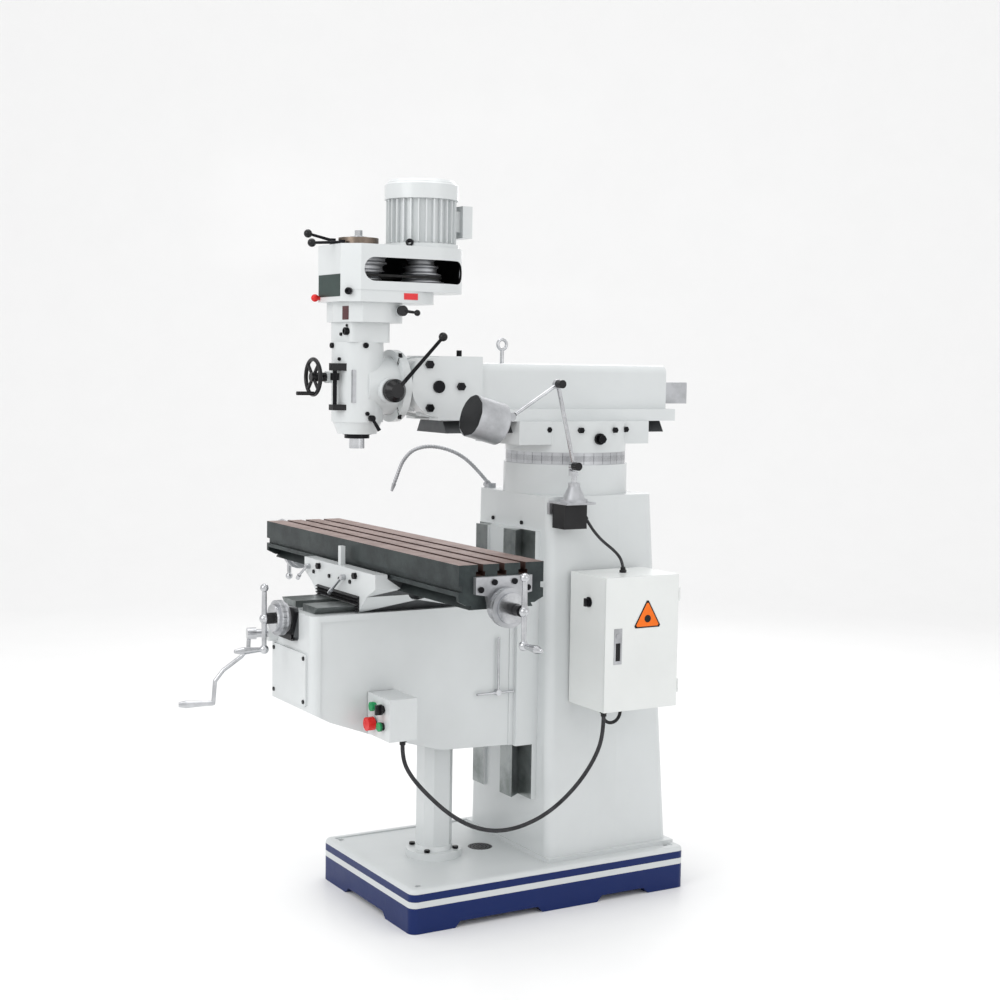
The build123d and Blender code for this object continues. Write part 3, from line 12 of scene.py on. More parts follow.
import bmesh
import bpy
import numpy as np
from mathutils import Matrix, Vector


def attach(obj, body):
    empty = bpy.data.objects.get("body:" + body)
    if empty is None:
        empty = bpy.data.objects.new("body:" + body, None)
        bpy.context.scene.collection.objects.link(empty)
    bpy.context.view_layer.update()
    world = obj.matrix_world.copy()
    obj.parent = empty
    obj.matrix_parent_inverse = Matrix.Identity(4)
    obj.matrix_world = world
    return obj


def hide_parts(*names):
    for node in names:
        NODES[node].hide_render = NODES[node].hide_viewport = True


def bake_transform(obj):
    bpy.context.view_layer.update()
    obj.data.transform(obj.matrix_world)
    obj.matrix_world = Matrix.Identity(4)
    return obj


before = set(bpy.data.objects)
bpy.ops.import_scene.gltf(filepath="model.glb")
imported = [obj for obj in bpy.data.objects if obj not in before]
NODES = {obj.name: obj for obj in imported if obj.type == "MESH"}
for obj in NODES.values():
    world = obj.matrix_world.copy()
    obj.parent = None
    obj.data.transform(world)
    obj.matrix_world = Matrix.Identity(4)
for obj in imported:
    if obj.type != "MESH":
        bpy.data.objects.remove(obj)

logging.basicConfig(level=logging.INFO, format="%(name)s: %(message)s")
LOG = logging.getLogger("mill")
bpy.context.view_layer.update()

Mask = Callable[[np.ndarray], np.ndarray]
Point = tuple[float, float, float]
X, Y, Z = 0, 1, 2


# --- shader building
class Graph:
    """A small helper that builds one node material."""

    def __init__(self, name: str) -> None:
        """Starts an empty node material with its output and principled shader."""
        self.material = bpy.data.materials.new(name)
        self.material.use_nodes = True
        self.tree = self.material.node_tree
        self.tree.nodes.clear()
        self.output = self.tree.nodes.new("ShaderNodeOutputMaterial")
        self.shader = self.add("ShaderNodeBsdfPrincipled")
        self.tree.links.new(self.shader.outputs["BSDF"], self.output.inputs["Surface"])

    def add(self, kind: str, **values: object) -> bpy.types.Node:
        """Adds a node.

        Args:
            kind: the node's type name.
            values: its attributes, by name.
        Returns:
            The new node.
        """
        node = self.tree.nodes.new(kind)
        for key, value in values.items():
            setattr(node, key, value)
        return node

    def link(self, source: bpy.types.NodeSocket, target: bpy.types.NodeSocket) -> None:
        """Joins two sockets."""
        self.tree.links.new(source, target)

    def set(self, **values: object) -> None:
        """Sets sockets of the shader, with underscores for the spaces in their names."""
        for key, value in values.items():
            self.shader.inputs[key.replace("_", " ")].default_value = value

    def place(self, centre: Point = (0, 0, 0), turn: Point = (0, 0, 0), scale: Point = (1, 1, 1)
              ) -> bpy.types.NodeSocket:
        """Object coordinates moved to a centre, turned and scaled.

        Args:
            centre: the point that becomes the origin.
            turn: the angles about the three axes.
            scale: the factor along each axis.
        Returns:
            The vector's socket.
        """
        coords = self.add("ShaderNodeTexCoord")
        shift = self.add("ShaderNodeVectorMath", operation="SUBTRACT")
        shift.inputs[1].default_value = centre
        self.link(coords.outputs["Object"], shift.inputs[0])
        mapping = self.add("ShaderNodeMapping")
        mapping.inputs["Rotation"].default_value = turn
        mapping.inputs["Scale"].default_value = scale
        self.link(shift.outputs["Vector"], mapping.inputs["Vector"])
        return mapping.outputs["Vector"]

    def noise(self, vector: bpy.types.NodeSocket, scale: float, detail: float = 3, rough: float = 0.5
              ) -> bpy.types.NodeSocket:
        """A noise pattern.

        Args:
            vector: the coordinates it reads.
            scale: its waves per metre.
            detail: how many finer octaves it adds.
            rough: the strength of each finer octave.
        Returns:
            The value's socket.
        """
        node = self.add("ShaderNodeTexNoise")
        node.inputs["Scale"].default_value = scale
        node.inputs["Detail"].default_value = detail
        node.inputs["Roughness"].default_value = rough
        self.link(vector, node.inputs["Vector"])
        return node.outputs["Fac"]

    def ramp(self, value: bpy.types.NodeSocket, stops: Sequence[tuple[float, Sequence[float]]],
             hard: bool = False) -> bpy.types.NodeSocket:
        """A colour ramp.

        Args:
            value: the number that picks the colour.
            stops: each stop's place and colour.
            hard: keeps each colour flat up to the next.
        Returns:
            The colour's socket.
        """
        node = self.add("ShaderNodeValToRGB")
        node.color_ramp.interpolation = "CONSTANT" if hard else "LINEAR"
        elements = node.color_ramp.elements
        while len(elements) < len(stops):
            elements.new(0.5)
        for element, (at, colour) in zip(elements, stops):
            element.position = at
            element.color = (*colour, 1.0)
        self.link(value, node.inputs["Fac"])
        return node.outputs["Color"]

    def span(self, value: bpy.types.NodeSocket, low: float, high: float,
             start: float = 0.0, end: float = 1.0) -> bpy.types.NodeSocket:
        """Maps a value's range to another.

        Args:
            value: the number to map.
            low: what the range's start becomes.
            high: what its end becomes.
            start: the range's start.
            end: its end.
        Returns:
            The new value's socket.
        """
        node = self.add("ShaderNodeMapRange")
        for name, number in zip(("From Min", "From Max", "To Min", "To Max"), (start, end, low, high)):
            node.inputs[name].default_value = number
        self.link(value, node.inputs["Value"])
        return node.outputs["Result"]

    def math(self, operation: str, a: object, b: object = 0.0) -> bpy.types.NodeSocket:
        """One arithmetic step.

        Args:
            operation: the step's type name.
            a: the first operand, a number or a socket.
            b: the second one.
        Returns:
            The result's socket.
        """
        node = self.add("ShaderNodeMath", operation=operation)
        for socket, value in zip(node.inputs, (a, b)):
            if isinstance(value, (int, float)):
                socket.default_value = value
            else:
                self.link(value, socket)
        return node.outputs["Value"]

    def mix(self, share: bpy.types.NodeSocket, a: object, b: object) -> bpy.types.NodeSocket:
        """Blends two colours.

        Args:
            share: how much of the second one shows.
            a: the first, a colour or a socket.
            b: the second.
        Returns:
            The blend's socket.
        """
        node = self.add("ShaderNodeMix", data_type="RGBA")
        self.link(share, node.inputs["Factor"])
        for socket, value in zip((node.inputs[6], node.inputs[7]), (a, b)):
            if isinstance(value, bpy.types.NodeSocket):
                self.link(value, socket)
            else:
                socket.default_value = (*value, 1.0)
        return node.outputs[2]

    def colour(self, socket: bpy.types.NodeSocket) -> None:
        """Feeds the base colour."""
        self.link(socket, self.shader.inputs["Base Color"])

    def bump(self, heights: Sequence[tuple[bpy.types.NodeSocket, float]]) -> None:
        """Chains bumps.

        Args:
            heights: each height pattern with its depth in metres.
        """
        last = None
        for value, depth in heights:
            node = self.add("ShaderNodeBump")
            node.inputs["Strength"].default_value = 1.0
            node.inputs["Distance"].default_value = depth
            self.link(value, node.inputs["Height"])
            if last is not None:
                self.link(last.outputs["Normal"], node.inputs["Normal"])
            last = node
        if last is not None:
            self.link(last.outputs["Normal"], self.shader.inputs["Normal"])


# --- finishes
@dataclass(frozen=True)
class Enamel:
    """Brushed or sprayed machine enamel: soft gloss, orange peel and a little dirt."""
    name: str
    colour: Point
    rough: float = 0.30
    peel: float = 0.00012
    dirt: float = 0.06

    def build(self) -> bpy.types.Material:
        """Makes the material.

        Returns:
            The material.
        """
        graph = Graph(self.name)
        where = graph.place()
        cloud = graph.noise(where, 3.2, 5, 0.6)
        low = tuple(c * (1 - self.dirt) for c in self.colour)
        graph.colour(graph.ramp(cloud, [(0.3, low), (0.62, self.colour)]))
        graph.link(graph.span(graph.noise(where, 9, 4), self.rough - 0.05, self.rough + 0.08),
                   graph.shader.inputs["Roughness"])
        graph.bump([(graph.noise(where, 260, 2), self.peel), (graph.noise(where, 34, 2), self.peel * 2.2)])
        graph.set(Coat_Weight=0.25, Coat_Roughness=0.12)
        return graph.material


@dataclass(frozen=True)
class BandedEnamel:
    """The base's enamel: blue plinth with a white line, white above."""
    name: str
    blue: Point
    white: Point
    levels: tuple[float, float, float] = (0.074, 0.092, 0.114)
    ramp_height: float = 0.2

    def build(self) -> bpy.types.Material:
        """Makes the material: the height above the floor picks the band.

        Returns:
            The material.
        """
        graph = Graph(self.name)
        where = graph.place()
        split = graph.add("ShaderNodeSeparateXYZ")
        graph.link(where, split.inputs["Vector"])
        wobble = graph.span(graph.noise(where, 60, 2), -0.0004, 0.0004)
        height = graph.math("ADD", split.outputs["Z"], wobble)
        share = graph.math("DIVIDE", height, self.ramp_height)
        a, b, c = (level / self.ramp_height for level in self.levels)
        stops = [(0.0, self.blue), (a, self.white), (b, self.blue), (c, self.white)]
        bands = graph.ramp(share, stops, hard=True)
        cloud = graph.span(graph.noise(where, 4, 5, 0.6), 0.9, 1.04)
        tone = graph.add("ShaderNodeVectorMath", operation="SCALE")
        graph.link(bands, tone.inputs[0])
        graph.link(cloud, tone.inputs["Scale"])
        graph.colour(tone.outputs["Vector"])
        graph.link(graph.span(graph.noise(where, 11, 4), 0.26, 0.42), graph.shader.inputs["Roughness"])
        graph.bump([(graph.noise(where, 240, 2), 0.00015), (graph.noise(where, 30, 2), 0.0004)])
        graph.set(Specular_IOR_Level=0.25)
        return graph.material


@dataclass(frozen=True)
class Metal:
    """Bare metal with a fine grain; stretch draws the grain out along the axes it shrinks."""
    name: str
    colour: Point
    rough: float = 0.3
    stretch: Point = (1, 1, 1)
    grain: float = 900
    depth: float = 0.00002
    metallic: float = 1.0
    stain: Optional[Point] = None

    def build(self) -> bpy.types.Material:
        """Makes the material.

        Returns:
            The material.
        """
        graph = Graph(self.name)
        where = graph.place(scale=self.stretch)
        plain = graph.place()
        dark = self.stain or tuple(c * 0.72 for c in self.colour)
        cloud = graph.noise(plain, 14, 6, 0.62)
        graph.colour(graph.ramp(cloud, [(0.36, dark), (0.60, self.colour)]))
        lines = graph.noise(where, self.grain, 2)
        graph.link(graph.span(lines, self.rough - 0.08, self.rough + 0.1), graph.shader.inputs["Roughness"])
        graph.bump([(lines, self.depth)])
        graph.set(Metallic=self.metallic)
        return graph.material


@dataclass(frozen=True)
class Graduated:
    """A turned ring with marks cut round it, every tenth one longer."""
    name: str
    centre: Point
    turn: Point
    marks: int
    half_width: float
    colour: Point = (0.52, 0.53, 0.55)
    ink: Point = (0.05, 0.05, 0.06)

    def build(self) -> bpy.types.Material:
        """Makes the material: the angle round the axis, times the marks, gives each mark's phase.

        Returns:
            The material.
        """
        graph = Graph(self.name)
        where = graph.place(self.centre, self.turn)
        split = graph.add("ShaderNodeSeparateXYZ")
        graph.link(where, split.inputs["Vector"])
        angle = graph.math("ARCTAN2", split.outputs["Y"], split.outputs["X"])
        turns = graph.math("DIVIDE", angle, 2 * math.pi)

        def lines(count: float, width: float) -> bpy.types.NodeSocket:
            """A number of marks round the ring, each a share of its pitch wide either way."""
            phase = graph.math("FRACT", graph.math("MULTIPLY", turns, count))
            away = graph.math("ABSOLUTE", graph.math("SUBTRACT", phase, 0.5))
            return graph.math("LESS_THAN", away, width)

        fine = lines(self.marks, 0.10)
        coarse = lines(self.marks / 10, 0.016)
        level = graph.math("ABSOLUTE", split.outputs["Z"])
        short = graph.math("MULTIPLY", fine, graph.math("LESS_THAN", level, self.half_width * 0.45))
        tall = graph.math("MULTIPLY", coarse, graph.math("LESS_THAN", level, self.half_width * 0.9))
        cut = graph.math("MAXIMUM", short, tall)
        cloud = graph.ramp(graph.noise(where, 30, 4), [(0.35, tuple(c * 0.8 for c in self.colour)),
                                                     (0.65, self.colour)])
        graph.colour(graph.mix(cut, cloud, self.ink))
        rings = graph.noise(graph.place(self.centre, self.turn, (1, 1, 60)), 30, 2)
        graph.link(graph.span(rings, 0.24, 0.4), graph.shader.inputs["Roughness"])
        depth = graph.math("SUBTRACT", 1.0, cut)
        graph.bump([(depth, 0.0003), (rings, 0.00003)])
        graph.set(Metallic=0.9)
        return graph.material


@dataclass(frozen=True)
class Plastic:
    """Moulded plastic or paint with a fine texture."""
    name: str
    colour: Point
    rough: float = 0.3
    texture: float = 0.00006
    scale: float = 700

    def build(self) -> bpy.types.Material:
        """Makes the material.

        Returns:
            The material.
        """
        graph = Graph(self.name)
        where = graph.place()
        lighter = tuple(min(1.0, c * 1.25 + 0.004) for c in self.colour)
        graph.colour(graph.ramp(graph.noise(where, 20, 4), [(0.3, self.colour), (0.75, lighter)]))
        fine = graph.noise(where, self.scale, 2)
        graph.link(graph.span(fine, self.rough - 0.06, self.rough + 0.08), graph.shader.inputs["Roughness"])
        graph.bump([(fine, self.texture)])
        graph.set(Specular_IOR_Level=0.28)
        return graph.material


@dataclass(frozen=True)
class Rubber:
    """Dull rubber sheath with a faint bloom."""
    name: str
    colour: Point = (0.018, 0.018, 0.02)

    def build(self) -> bpy.types.Material:
        """Makes the material.

        Returns:
            The material.
        """
        graph = Graph(self.name)
        where = graph.place()
        bloom = graph.noise(where, 45, 5, 0.65)
        pale = tuple(c * 2.4 + 0.01 for c in self.colour)
        graph.colour(graph.ramp(bloom, [(0.35, self.colour), (0.75, pale)]))
        graph.link(graph.span(bloom, 0.42, 0.66), graph.shader.inputs["Roughness"])
        graph.bump([(graph.noise(where, 900, 2), 0.00005)])
        graph.set(Specular_IOR_Level=0.25)
        return graph.material


PAINT = (0.63, 0.655, 0.66)


class Finish(Enum):
    """Every finish on the machine."""
    WHITE = Enamel("machine_white", PAINT)
    PANEL = Enamel("cabinet_white", (0.76, 0.78, 0.77), rough=0.36, peel=0.0002)
    BASE = BandedEnamel("base_bands", (0.003, 0.016, 0.105), PAINT)
    TABLE = Metal("table_sides", (0.048, 0.060, 0.060), 0.42, grain=500, metallic=0.75,
                  stain=(0.028, 0.034, 0.036), depth=0.00008)
    LAND = Metal("table_top", (0.30, 0.20, 0.175), 0.40, (0.04, 1, 1), 420, 0.00003, 0.75,
                 (0.19, 0.105, 0.085))
    SLOT = Metal("slot_walls", (0.10, 0.055, 0.045), 0.5, (0.05, 1, 1), 500, metallic=0.6)
    STEEL = Metal("bright_steel", (0.60, 0.61, 0.63), 0.22)
    WAY = Metal("ground_way", (0.30, 0.32, 0.32), 0.34, (1, 1, 0.05), 520, 0.00003, 0.85, (0.17, 0.19, 0.185))
    CAST = Metal("light_casting", (0.50, 0.51, 0.53), 0.42, grain=420, depth=0.00012, metallic=0.8)
    # Dark castings and ground ways; on the saddle this finish is also painted shade, under the table and in
    # the gap above the knee.
    DARK = Metal("dark_casting_and_painted_shade", (0.10, 0.105, 0.11), 0.45, grain=420, depth=0.0001, metallic=0.7)
    BRONZE = Metal("bearing_cap", (0.25, 0.20, 0.16), 0.36, stain=(0.13, 0.10, 0.085))
    BLACKED = Metal("black_oxide", (0.014, 0.014, 0.016), 0.34, metallic=0.9)
    BLACK = Plastic("black_plastic", (0.006, 0.006, 0.007), 0.22)
    SATIN = Plastic("satin_black", (0.009, 0.009, 0.010), 0.42)
    GREY = Plastic("grey_plastic", (0.30, 0.31, 0.32), 0.42)
    GREEN = Plastic("green_button", (0.01, 0.26, 0.085), 0.24)
    RED = Plastic("red_button", (0.60, 0.02, 0.018), 0.24)
    PLATE_GREEN = Plastic("dark_green_plate", (0.010, 0.028, 0.024), 0.35)
    PLATE_RED = Plastic("dark_red_plate", (0.055, 0.003, 0.006), 0.35)
    LABEL_RED = Plastic("red_label", (0.62, 0.035, 0.04), 0.4)
    ORANGE = Plastic("warning_orange", (0.80, 0.15, 0.006), 0.4)
    RUBBER = Rubber("cable_rubber")
    BELT = Rubber("belt_rubber", (0.012, 0.012, 0.012))
    RING = Graduated("turret_ring", (0, 0.2, 1.3165), (0, 0, 0), 360, 0.0185)


_MADE: dict[str, bpy.types.Material] = {}


def material_of(finish: object) -> bpy.types.Material:
    """The one material of a finish, made at its first use.

    Args:
        finish: a member of Finish, or a finish of its own.
    Returns:
        The material.
    """
    recipe = finish.value if isinstance(finish, Finish) else finish
    if recipe.name not in _MADE:
        _MADE[recipe.name] = recipe.build()
    return _MADE[recipe.name]


# --- dressing the CAD nodes
def inside(low: Point, high: Point) -> Mask:
    """A mask of the points inside a box."""
    return lambda p: np.all((p[:, :3] >= np.array(low)) & (p[:, :3] <= np.array(high)), axis=1)


def near(centre: Point, radius: float) -> Mask:
    """A mask of the points within a distance of a centre."""
    return lambda p: np.linalg.norm(p[:, :3] - np.array(centre), axis=1) <= radius


def below(axis: int, level: float) -> Mask:
    """A mask of the points under a level on an axis."""
    return lambda p: p[:, axis] < level


def above(axis: int, level: float) -> Mask:
    """A mask of the points over a level on an axis."""
    return lambda p: p[:, axis] > level


def within(axis: int, centre: float, reach: float) -> Mask:
    """A mask of the points nearer to a centre on an axis than a reach."""
    return lambda p: np.abs(p[:, axis] - centre) < reach


def beyond(axis: int, centre: float, reach: float) -> Mask:
    """A mask of the points further from a centre on an axis than a reach."""
    return lambda p: np.abs(p[:, axis] - centre) > reach


def both(*masks: Mask) -> Mask:
    """A mask of the points that all the masks take."""
    return lambda p: np.logical_and.reduce([mask(p) for mask in masks])


def either(*masks: Mask) -> Mask:
    """A mask of the points that any of the masks takes."""
    return lambda p: np.logical_or.reduce([mask(p) for mask in masks])


def without(mask: Mask) -> Mask:
    """A mask of the points that another one leaves."""
    return lambda p: ~mask(p)


def round_axis(axis: int, centre: tuple[float, float], radius: float, low: float = -9,
               high: float = 9) -> Mask:
    """A mask of the points inside a cylinder along an axis.

    Args:
        axis: the cylinder's axis.
        centre: its place on the two other axes, in order.
        radius: its radius.
        low: where it starts on its axis.
        high: where it ends.
    Returns:
        The mask.
    """
    first, second = (k for k in (X, Y, Z) if k != axis)

    def mask(p: np.ndarray) -> np.ndarray:
        """Whether each point is near enough to the axis and between the ends."""
        away = np.hypot(p[:, first] - centre[0], p[:, second] - centre[1])
        return (away <= radius) & (p[:, axis] >= low) & (p[:, axis] <= high)

    return mask


def facing(centre: Point, low: Point, high: Point) -> Mask:
    """A mask of the faces inside a box that look towards a centre."""
    box = inside(low, high)
    return lambda p: box(p) & (np.sum((np.array(centre) - p[:, :3]) * p[:, 3:], axis=1) > 0)


def face_centres(obj: bpy.types.Object) -> np.ndarray:
    """Each face's centre and normal.

    Args:
        obj: a mesh object.
    Returns:
        Rows of six numbers.
    """
    count = len(obj.data.polygons)
    rows = []
    for name in ("center", "normal"):
        flat = np.empty(count * 3, np.float32)
        obj.data.polygons.foreach_get(name, flat)
        rows.append(flat.reshape(-1, 3).astype(float))
    return np.hstack(rows)


def dress(node: str, base: object, *zones: tuple[object, Mask]) -> None:
    """Gives a CAD node its finish, and each zone of its faces another.

    Args:
        node: the node's name.
        base: the finish of every face outside the zones.
        zones: pairs of a finish and a mask over the face centres; later ones win.
    """
    obj = NODES[node]
    obj.data.materials.clear()
    obj.data.materials.append(material_of(base))
    if zones:
        centres = face_centres(obj)
        index = np.zeros(len(centres), np.int32)
        for finish, mask in zones:
            material = material_of(finish)
            if material.name not in obj.data.materials:
                obj.data.materials.append(material)
            index[mask(centres)] = obj.data.materials.find(material.name)
        obj.data.polygons.foreach_set("material_index", index)
    else:
        obj.data.polygons.foreach_set("material_index", np.zeros(len(obj.data.polygons), np.int32))
    LOG.info("dressed %s", node)


# --- mesh building
def mesh_object(name: str, points: np.ndarray, faces: Sequence[Sequence[int]], finish: object,
                smooth: bool = True, sharp: float = 35.0) -> bpy.types.Object:
    """A mesh object from points and faces, with its doubles merged and its normals outward.

    Args:
        name: the piece's name.
        points: rows of places.
        faces: each face's point numbers.
        finish: its finish.
        smooth: shades it smooth.
        sharp: the angle in degrees at which an edge stays sharp.
    Returns:
        The object.
    """
    mesh = bpy.data.meshes.new(name)
    mesh.from_pydata(points.tolist(), [], [list(map(int, f)) for f in faces])
    mesh.validate()
    obj = bpy.data.objects.new(name, mesh)
    bpy.context.scene.collection.objects.link(obj)
    tidy_mesh(mesh)
    mesh.materials.append(material_of(finish))
    if smooth:
        mesh.polygons.foreach_set("use_smooth", np.ones(len(mesh.polygons), bool))
        mesh.set_sharp_from_angle(angle=math.radians(sharp))
    return obj


def tidy_mesh(mesh: bpy.types.Mesh) -> None:
    """Merges a mesh's doubles and points its faces outward.

    Args:
        mesh: the mesh.
    """
    work = bmesh.new()
    work.from_mesh(mesh)
    bmesh.ops.remove_doubles(work, verts=work.verts, dist=1e-6)
    bmesh.ops.recalc_face_normals(work, faces=work.faces)
    work.to_mesh(mesh)
    work.free()


def grid_faces(rows: int, columns: int, close_rows: bool, close_columns: bool) -> np.ndarray:
    """Quads of a grid of points, row by row.

    Args:
        rows: how many rows there are.
        columns: how many points a row has.
        close_rows: joins the last row to the first.
        close_columns: joins each row's end to its start.
    Returns:
        Rows of four point numbers.
    """
    r = np.arange(rows if close_rows else rows - 1)
    c = np.arange(columns if close_columns else columns - 1)
    i, j = np.meshgrid(r, c, indexing="ij")
    down, right = (i + 1) % rows, (j + 1) % columns
    return np.stack([i * columns + j, i * columns + right, down * columns + right, down * columns + j],
                    axis=-1).reshape(-1, 4)


def revolve(name: str, profile: Sequence[tuple[float, float]], axis: Point, origin: Point, finish: object,
            steps: int = 48, sharp: float = 35.0) -> bpy.types.Object:
    """A turned piece: the profile's radius and height, carried round an axis.

    Each point is origin + axis * height + radius * (cos a * u + sin a * v), with u and v square
    to the axis and a going once round.

    Args:
        name: the piece's name.
        profile: radius and height at each corner.
        axis: the direction of the height.
        origin: the place of height nought.
        finish: its finish.
        steps: how many points go round.
        sharp: the angle in degrees at which an edge stays sharp.
    Returns:
        The object.
    """
    direction = Vector(axis).normalized()
    side = direction.orthogonal().normalized()
    other = direction.cross(side)
    u, v, w = (np.array(k) for k in (side, other, direction))
    radius, height = np.array(profile, float).T
    angle = np.linspace(0, 2 * math.pi, steps, endpoint=False)
    ring = np.cos(angle)[:, None] * u + np.sin(angle)[:, None] * v
    points = (np.array(origin) + height[None, :, None] * w + radius[None, :, None] * ring[:, None, :])
    faces = grid_faces(steps, len(profile), True, False)
    return mesh_object(name, points.reshape(-1, 3), faces, finish, sharp=sharp)


def plate(name: str, corners: Sequence[Point], thick: float, finish: object,
          bevel: float = 0.0006) -> bpy.types.Object:
    """A thin plate: an outline, and its copy pushed along the outline's normal.

    Args:
        name: the piece's name.
        corners: the outline in order.
        thick: its thickness.
        finish: its finish.
        bevel: the width of its rounded edges.
    Returns:
        The object.
    """
    ring = np.array(corners, float)
    normal = np.cross(ring[1] - ring[0], ring[2] - ring[1])
    normal = normal / np.linalg.norm(normal) * thick
    count = len(ring)
    points = np.vstack([ring, ring + normal])
    faces = [list(range(count))[::-1], list(range(count, 2 * count))]
    faces += [[k, (k + 1) % count, (k + 1) % count + count, k + count] for k in range(count)]
    obj = mesh_object(name, points, faces, finish, smooth=False)
    add_bevel(obj, bevel)
    return obj


def add_bevel(obj: bpy.types.Object, width: float, segments: int = 2) -> None:
    """Rounds an object's sharp edges.

    Args:
        obj: the object.
        width: the rounding's width.
        segments: how many steps it has.
    """
    modifier = obj.modifiers.new("edge", "BEVEL")
    modifier.width = width
    modifier.segments = segments
    modifier.limit_method = "ANGLE"
    modifier.angle_limit = math.radians(40)


def tube(name: str, path: np.ndarray, radius: np.ndarray, finish: object,
         steps: int = 12) -> bpy.types.Object:
    """A closed tube along a path of points, with a radius at each.

    The cross-section's frame is carried along the path by taking out, at each point, the part of
    the last side vector that lies along the new direction.

    Args:
        name: the piece's name.
        path: rows of places.
        radius: the radius at each.
        finish: its finish.
        steps: how many points go round.
    Returns:
        The object.
    """
    path = np.asarray(path, float)
    along = np.gradient(path, axis=0)
    along /= np.linalg.norm(along, axis=1)[:, None]
    side = np.array(Vector(along[0]).orthogonal().normalized())
    sides = []
    for direction in along:
        side = side - direction * np.dot(side, direction)
        side /= np.linalg.norm(side)
        sides.append(side)
    first = np.array(sides)
    second = np.cross(along, first)
    angle = np.linspace(0, 2 * math.pi, steps, endpoint=False)
    ring = (np.cos(angle)[None, :, None] * first[:, None, :]
            + np.sin(angle)[None, :, None] * second[:, None, :])
    points = path[:, None, :] + np.asarray(radius)[:, None, None] * ring
    count = len(path)
    faces = [list(f) for f in grid_faces(count, steps, False, True)]
    points = np.vstack([points.reshape(-1, 3), path[:1], path[-1:]])
    start, end = count * steps, count * steps + 1
    faces += [[start, (k + 1) % steps, k] for k in range(steps)]
    last = (count - 1) * steps
    faces += [[end, last + k, last + (k + 1) % steps] for k in range(steps)]
    return mesh_object(name, points, faces, finish, sharp=50)


def spline_points(route: Sequence[Point]) -> np.ndarray:
    """Points along the smooth curve of a route.

    Args:
        route: the control points.
    Returns:
        Rows of places.
    """
    curve = cord_curve("route", route, 0.0)
    mesh = bpy.data.meshes.new_from_object(curve)
    flat = np.empty(len(mesh.vertices) * 3, np.float32)
    mesh.vertices.foreach_get("co", flat)
    bpy.data.objects.remove(curve)
    bpy.data.meshes.remove(mesh)
    return flat.reshape(-1, 3).astype(float)


def cord_curve(name: str, route: Sequence[Point], radius: float) -> bpy.types.Object:
    """A cord's own curve: one open smooth spline.

    Args:
        name: the piece's name.
        route: the control points.
        radius: the cord's radius.
    Returns:
        The object.
    """
    data = bpy.data.curves.new(name, "CURVE")
    data.dimensions = "3D"
    data.resolution_u = 10
    spline = data.splines.new("NURBS")
    spline.points.add(len(route) - 1)
    for point, place in zip(spline.points, route):
        point.co = (*place, 1.0)
    spline.order_u = 3
    spline.use_endpoint_u = True
    data.bevel_depth = radius
    data.bevel_resolution = 4
    data.use_fill_caps = True
    obj = bpy.data.objects.new(name, data)
    bpy.context.scene.collection.objects.link(obj)
    return obj


# --- sub-assemblies
@dataclass
class BaseAndColumn:
    """Base, column, pedestal and the fittings on them."""
    way_front: float = -0.0045
    way_half_gap: float = 0.0485

    def build(self) -> None:
        """Dresses the fixed castings."""
        dress("base_casting", Finish.BASE)
        dress("drain_screen", Finish.BLACKED)
        way = both(below(Y, self.way_front), beyond(X, 0, self.way_half_gap))
        dress("column_casting", Finish.WHITE, (Finish.WAY, way))
        nut = inside((-0.04, -0.3, 0.505), (0.04, -0.2, 0.6))
        dress("elevating_pedestal", Finish.WHITE, (Finish.BRONZE, nut))
        dress("frame_bolts", Finish.BLACKED)


@dataclass
class Knee:
    """Knee, its drives and the control box."""
    cross_screw: tuple[float, float] = (0, 0.873)
    way_level: float = 0.8934
    way_half_width: float = 0.127
    way_back: float = -0.064
    cap_face: float = -0.7182
    button_face: float = -0.552

    def build(self) -> None:
        """Dresses the knee's parts."""
        way = both(above(Z, self.way_level), within(X, 0, self.way_half_width), below(Y, self.way_back))
        dress("knee_casting", Finish.WHITE, (Finish.WAY, way))
        bracket = inside((-0.06, -0.74, 0.80), (0.06, -0.711, 0.91))
        collar = round_axis(Y, self.cross_screw, 0.043, -0.74, -0.72)
        dress("knee_fittings", Finish.WHITE, (Finish.DARK, bracket),
              (Finish.BLACKED, below(Y, self.cap_face)), (Finish.CAST, collar))
        dress("elevating_screw", Finish.STEEL)
        dress("knee_lock", Finish.STEEL)
        self.dress_controls()
        dial = Graduated("cross_dial", (0, -0.748, 0.873), (math.pi / 2, 0, 0), 200, 0.010)
        band = round_axis(Y, self.cross_screw, 0.052, -0.7585, -0.7379)
        hub = round_axis(Y, self.cross_screw, 0.0175, -0.787, -0.7682)
        dress("cross_crank", Finish.STEEL, (dial, band), (Finish.BLACK, hub))
        dress("knee_crank", Finish.STEEL)

    def dress_controls(self) -> None:
        """Dresses the control box, its buttons and its switch."""
        gland = inside((0.23, -0.5, 0.5), (0.28, -0.46, 0.5522))
        dress("control_box", Finish.WHITE, (Finish.SATIN, gland))
        collar = (Finish.BLACK, above(Y, self.button_face))
        dress("start_button", Finish.GREEN)
        dress("coolant_button", Finish.GREEN, collar)
        dress("stop_button", Finish.RED, collar)
        dress("direction_switch", Finish.BLACK)


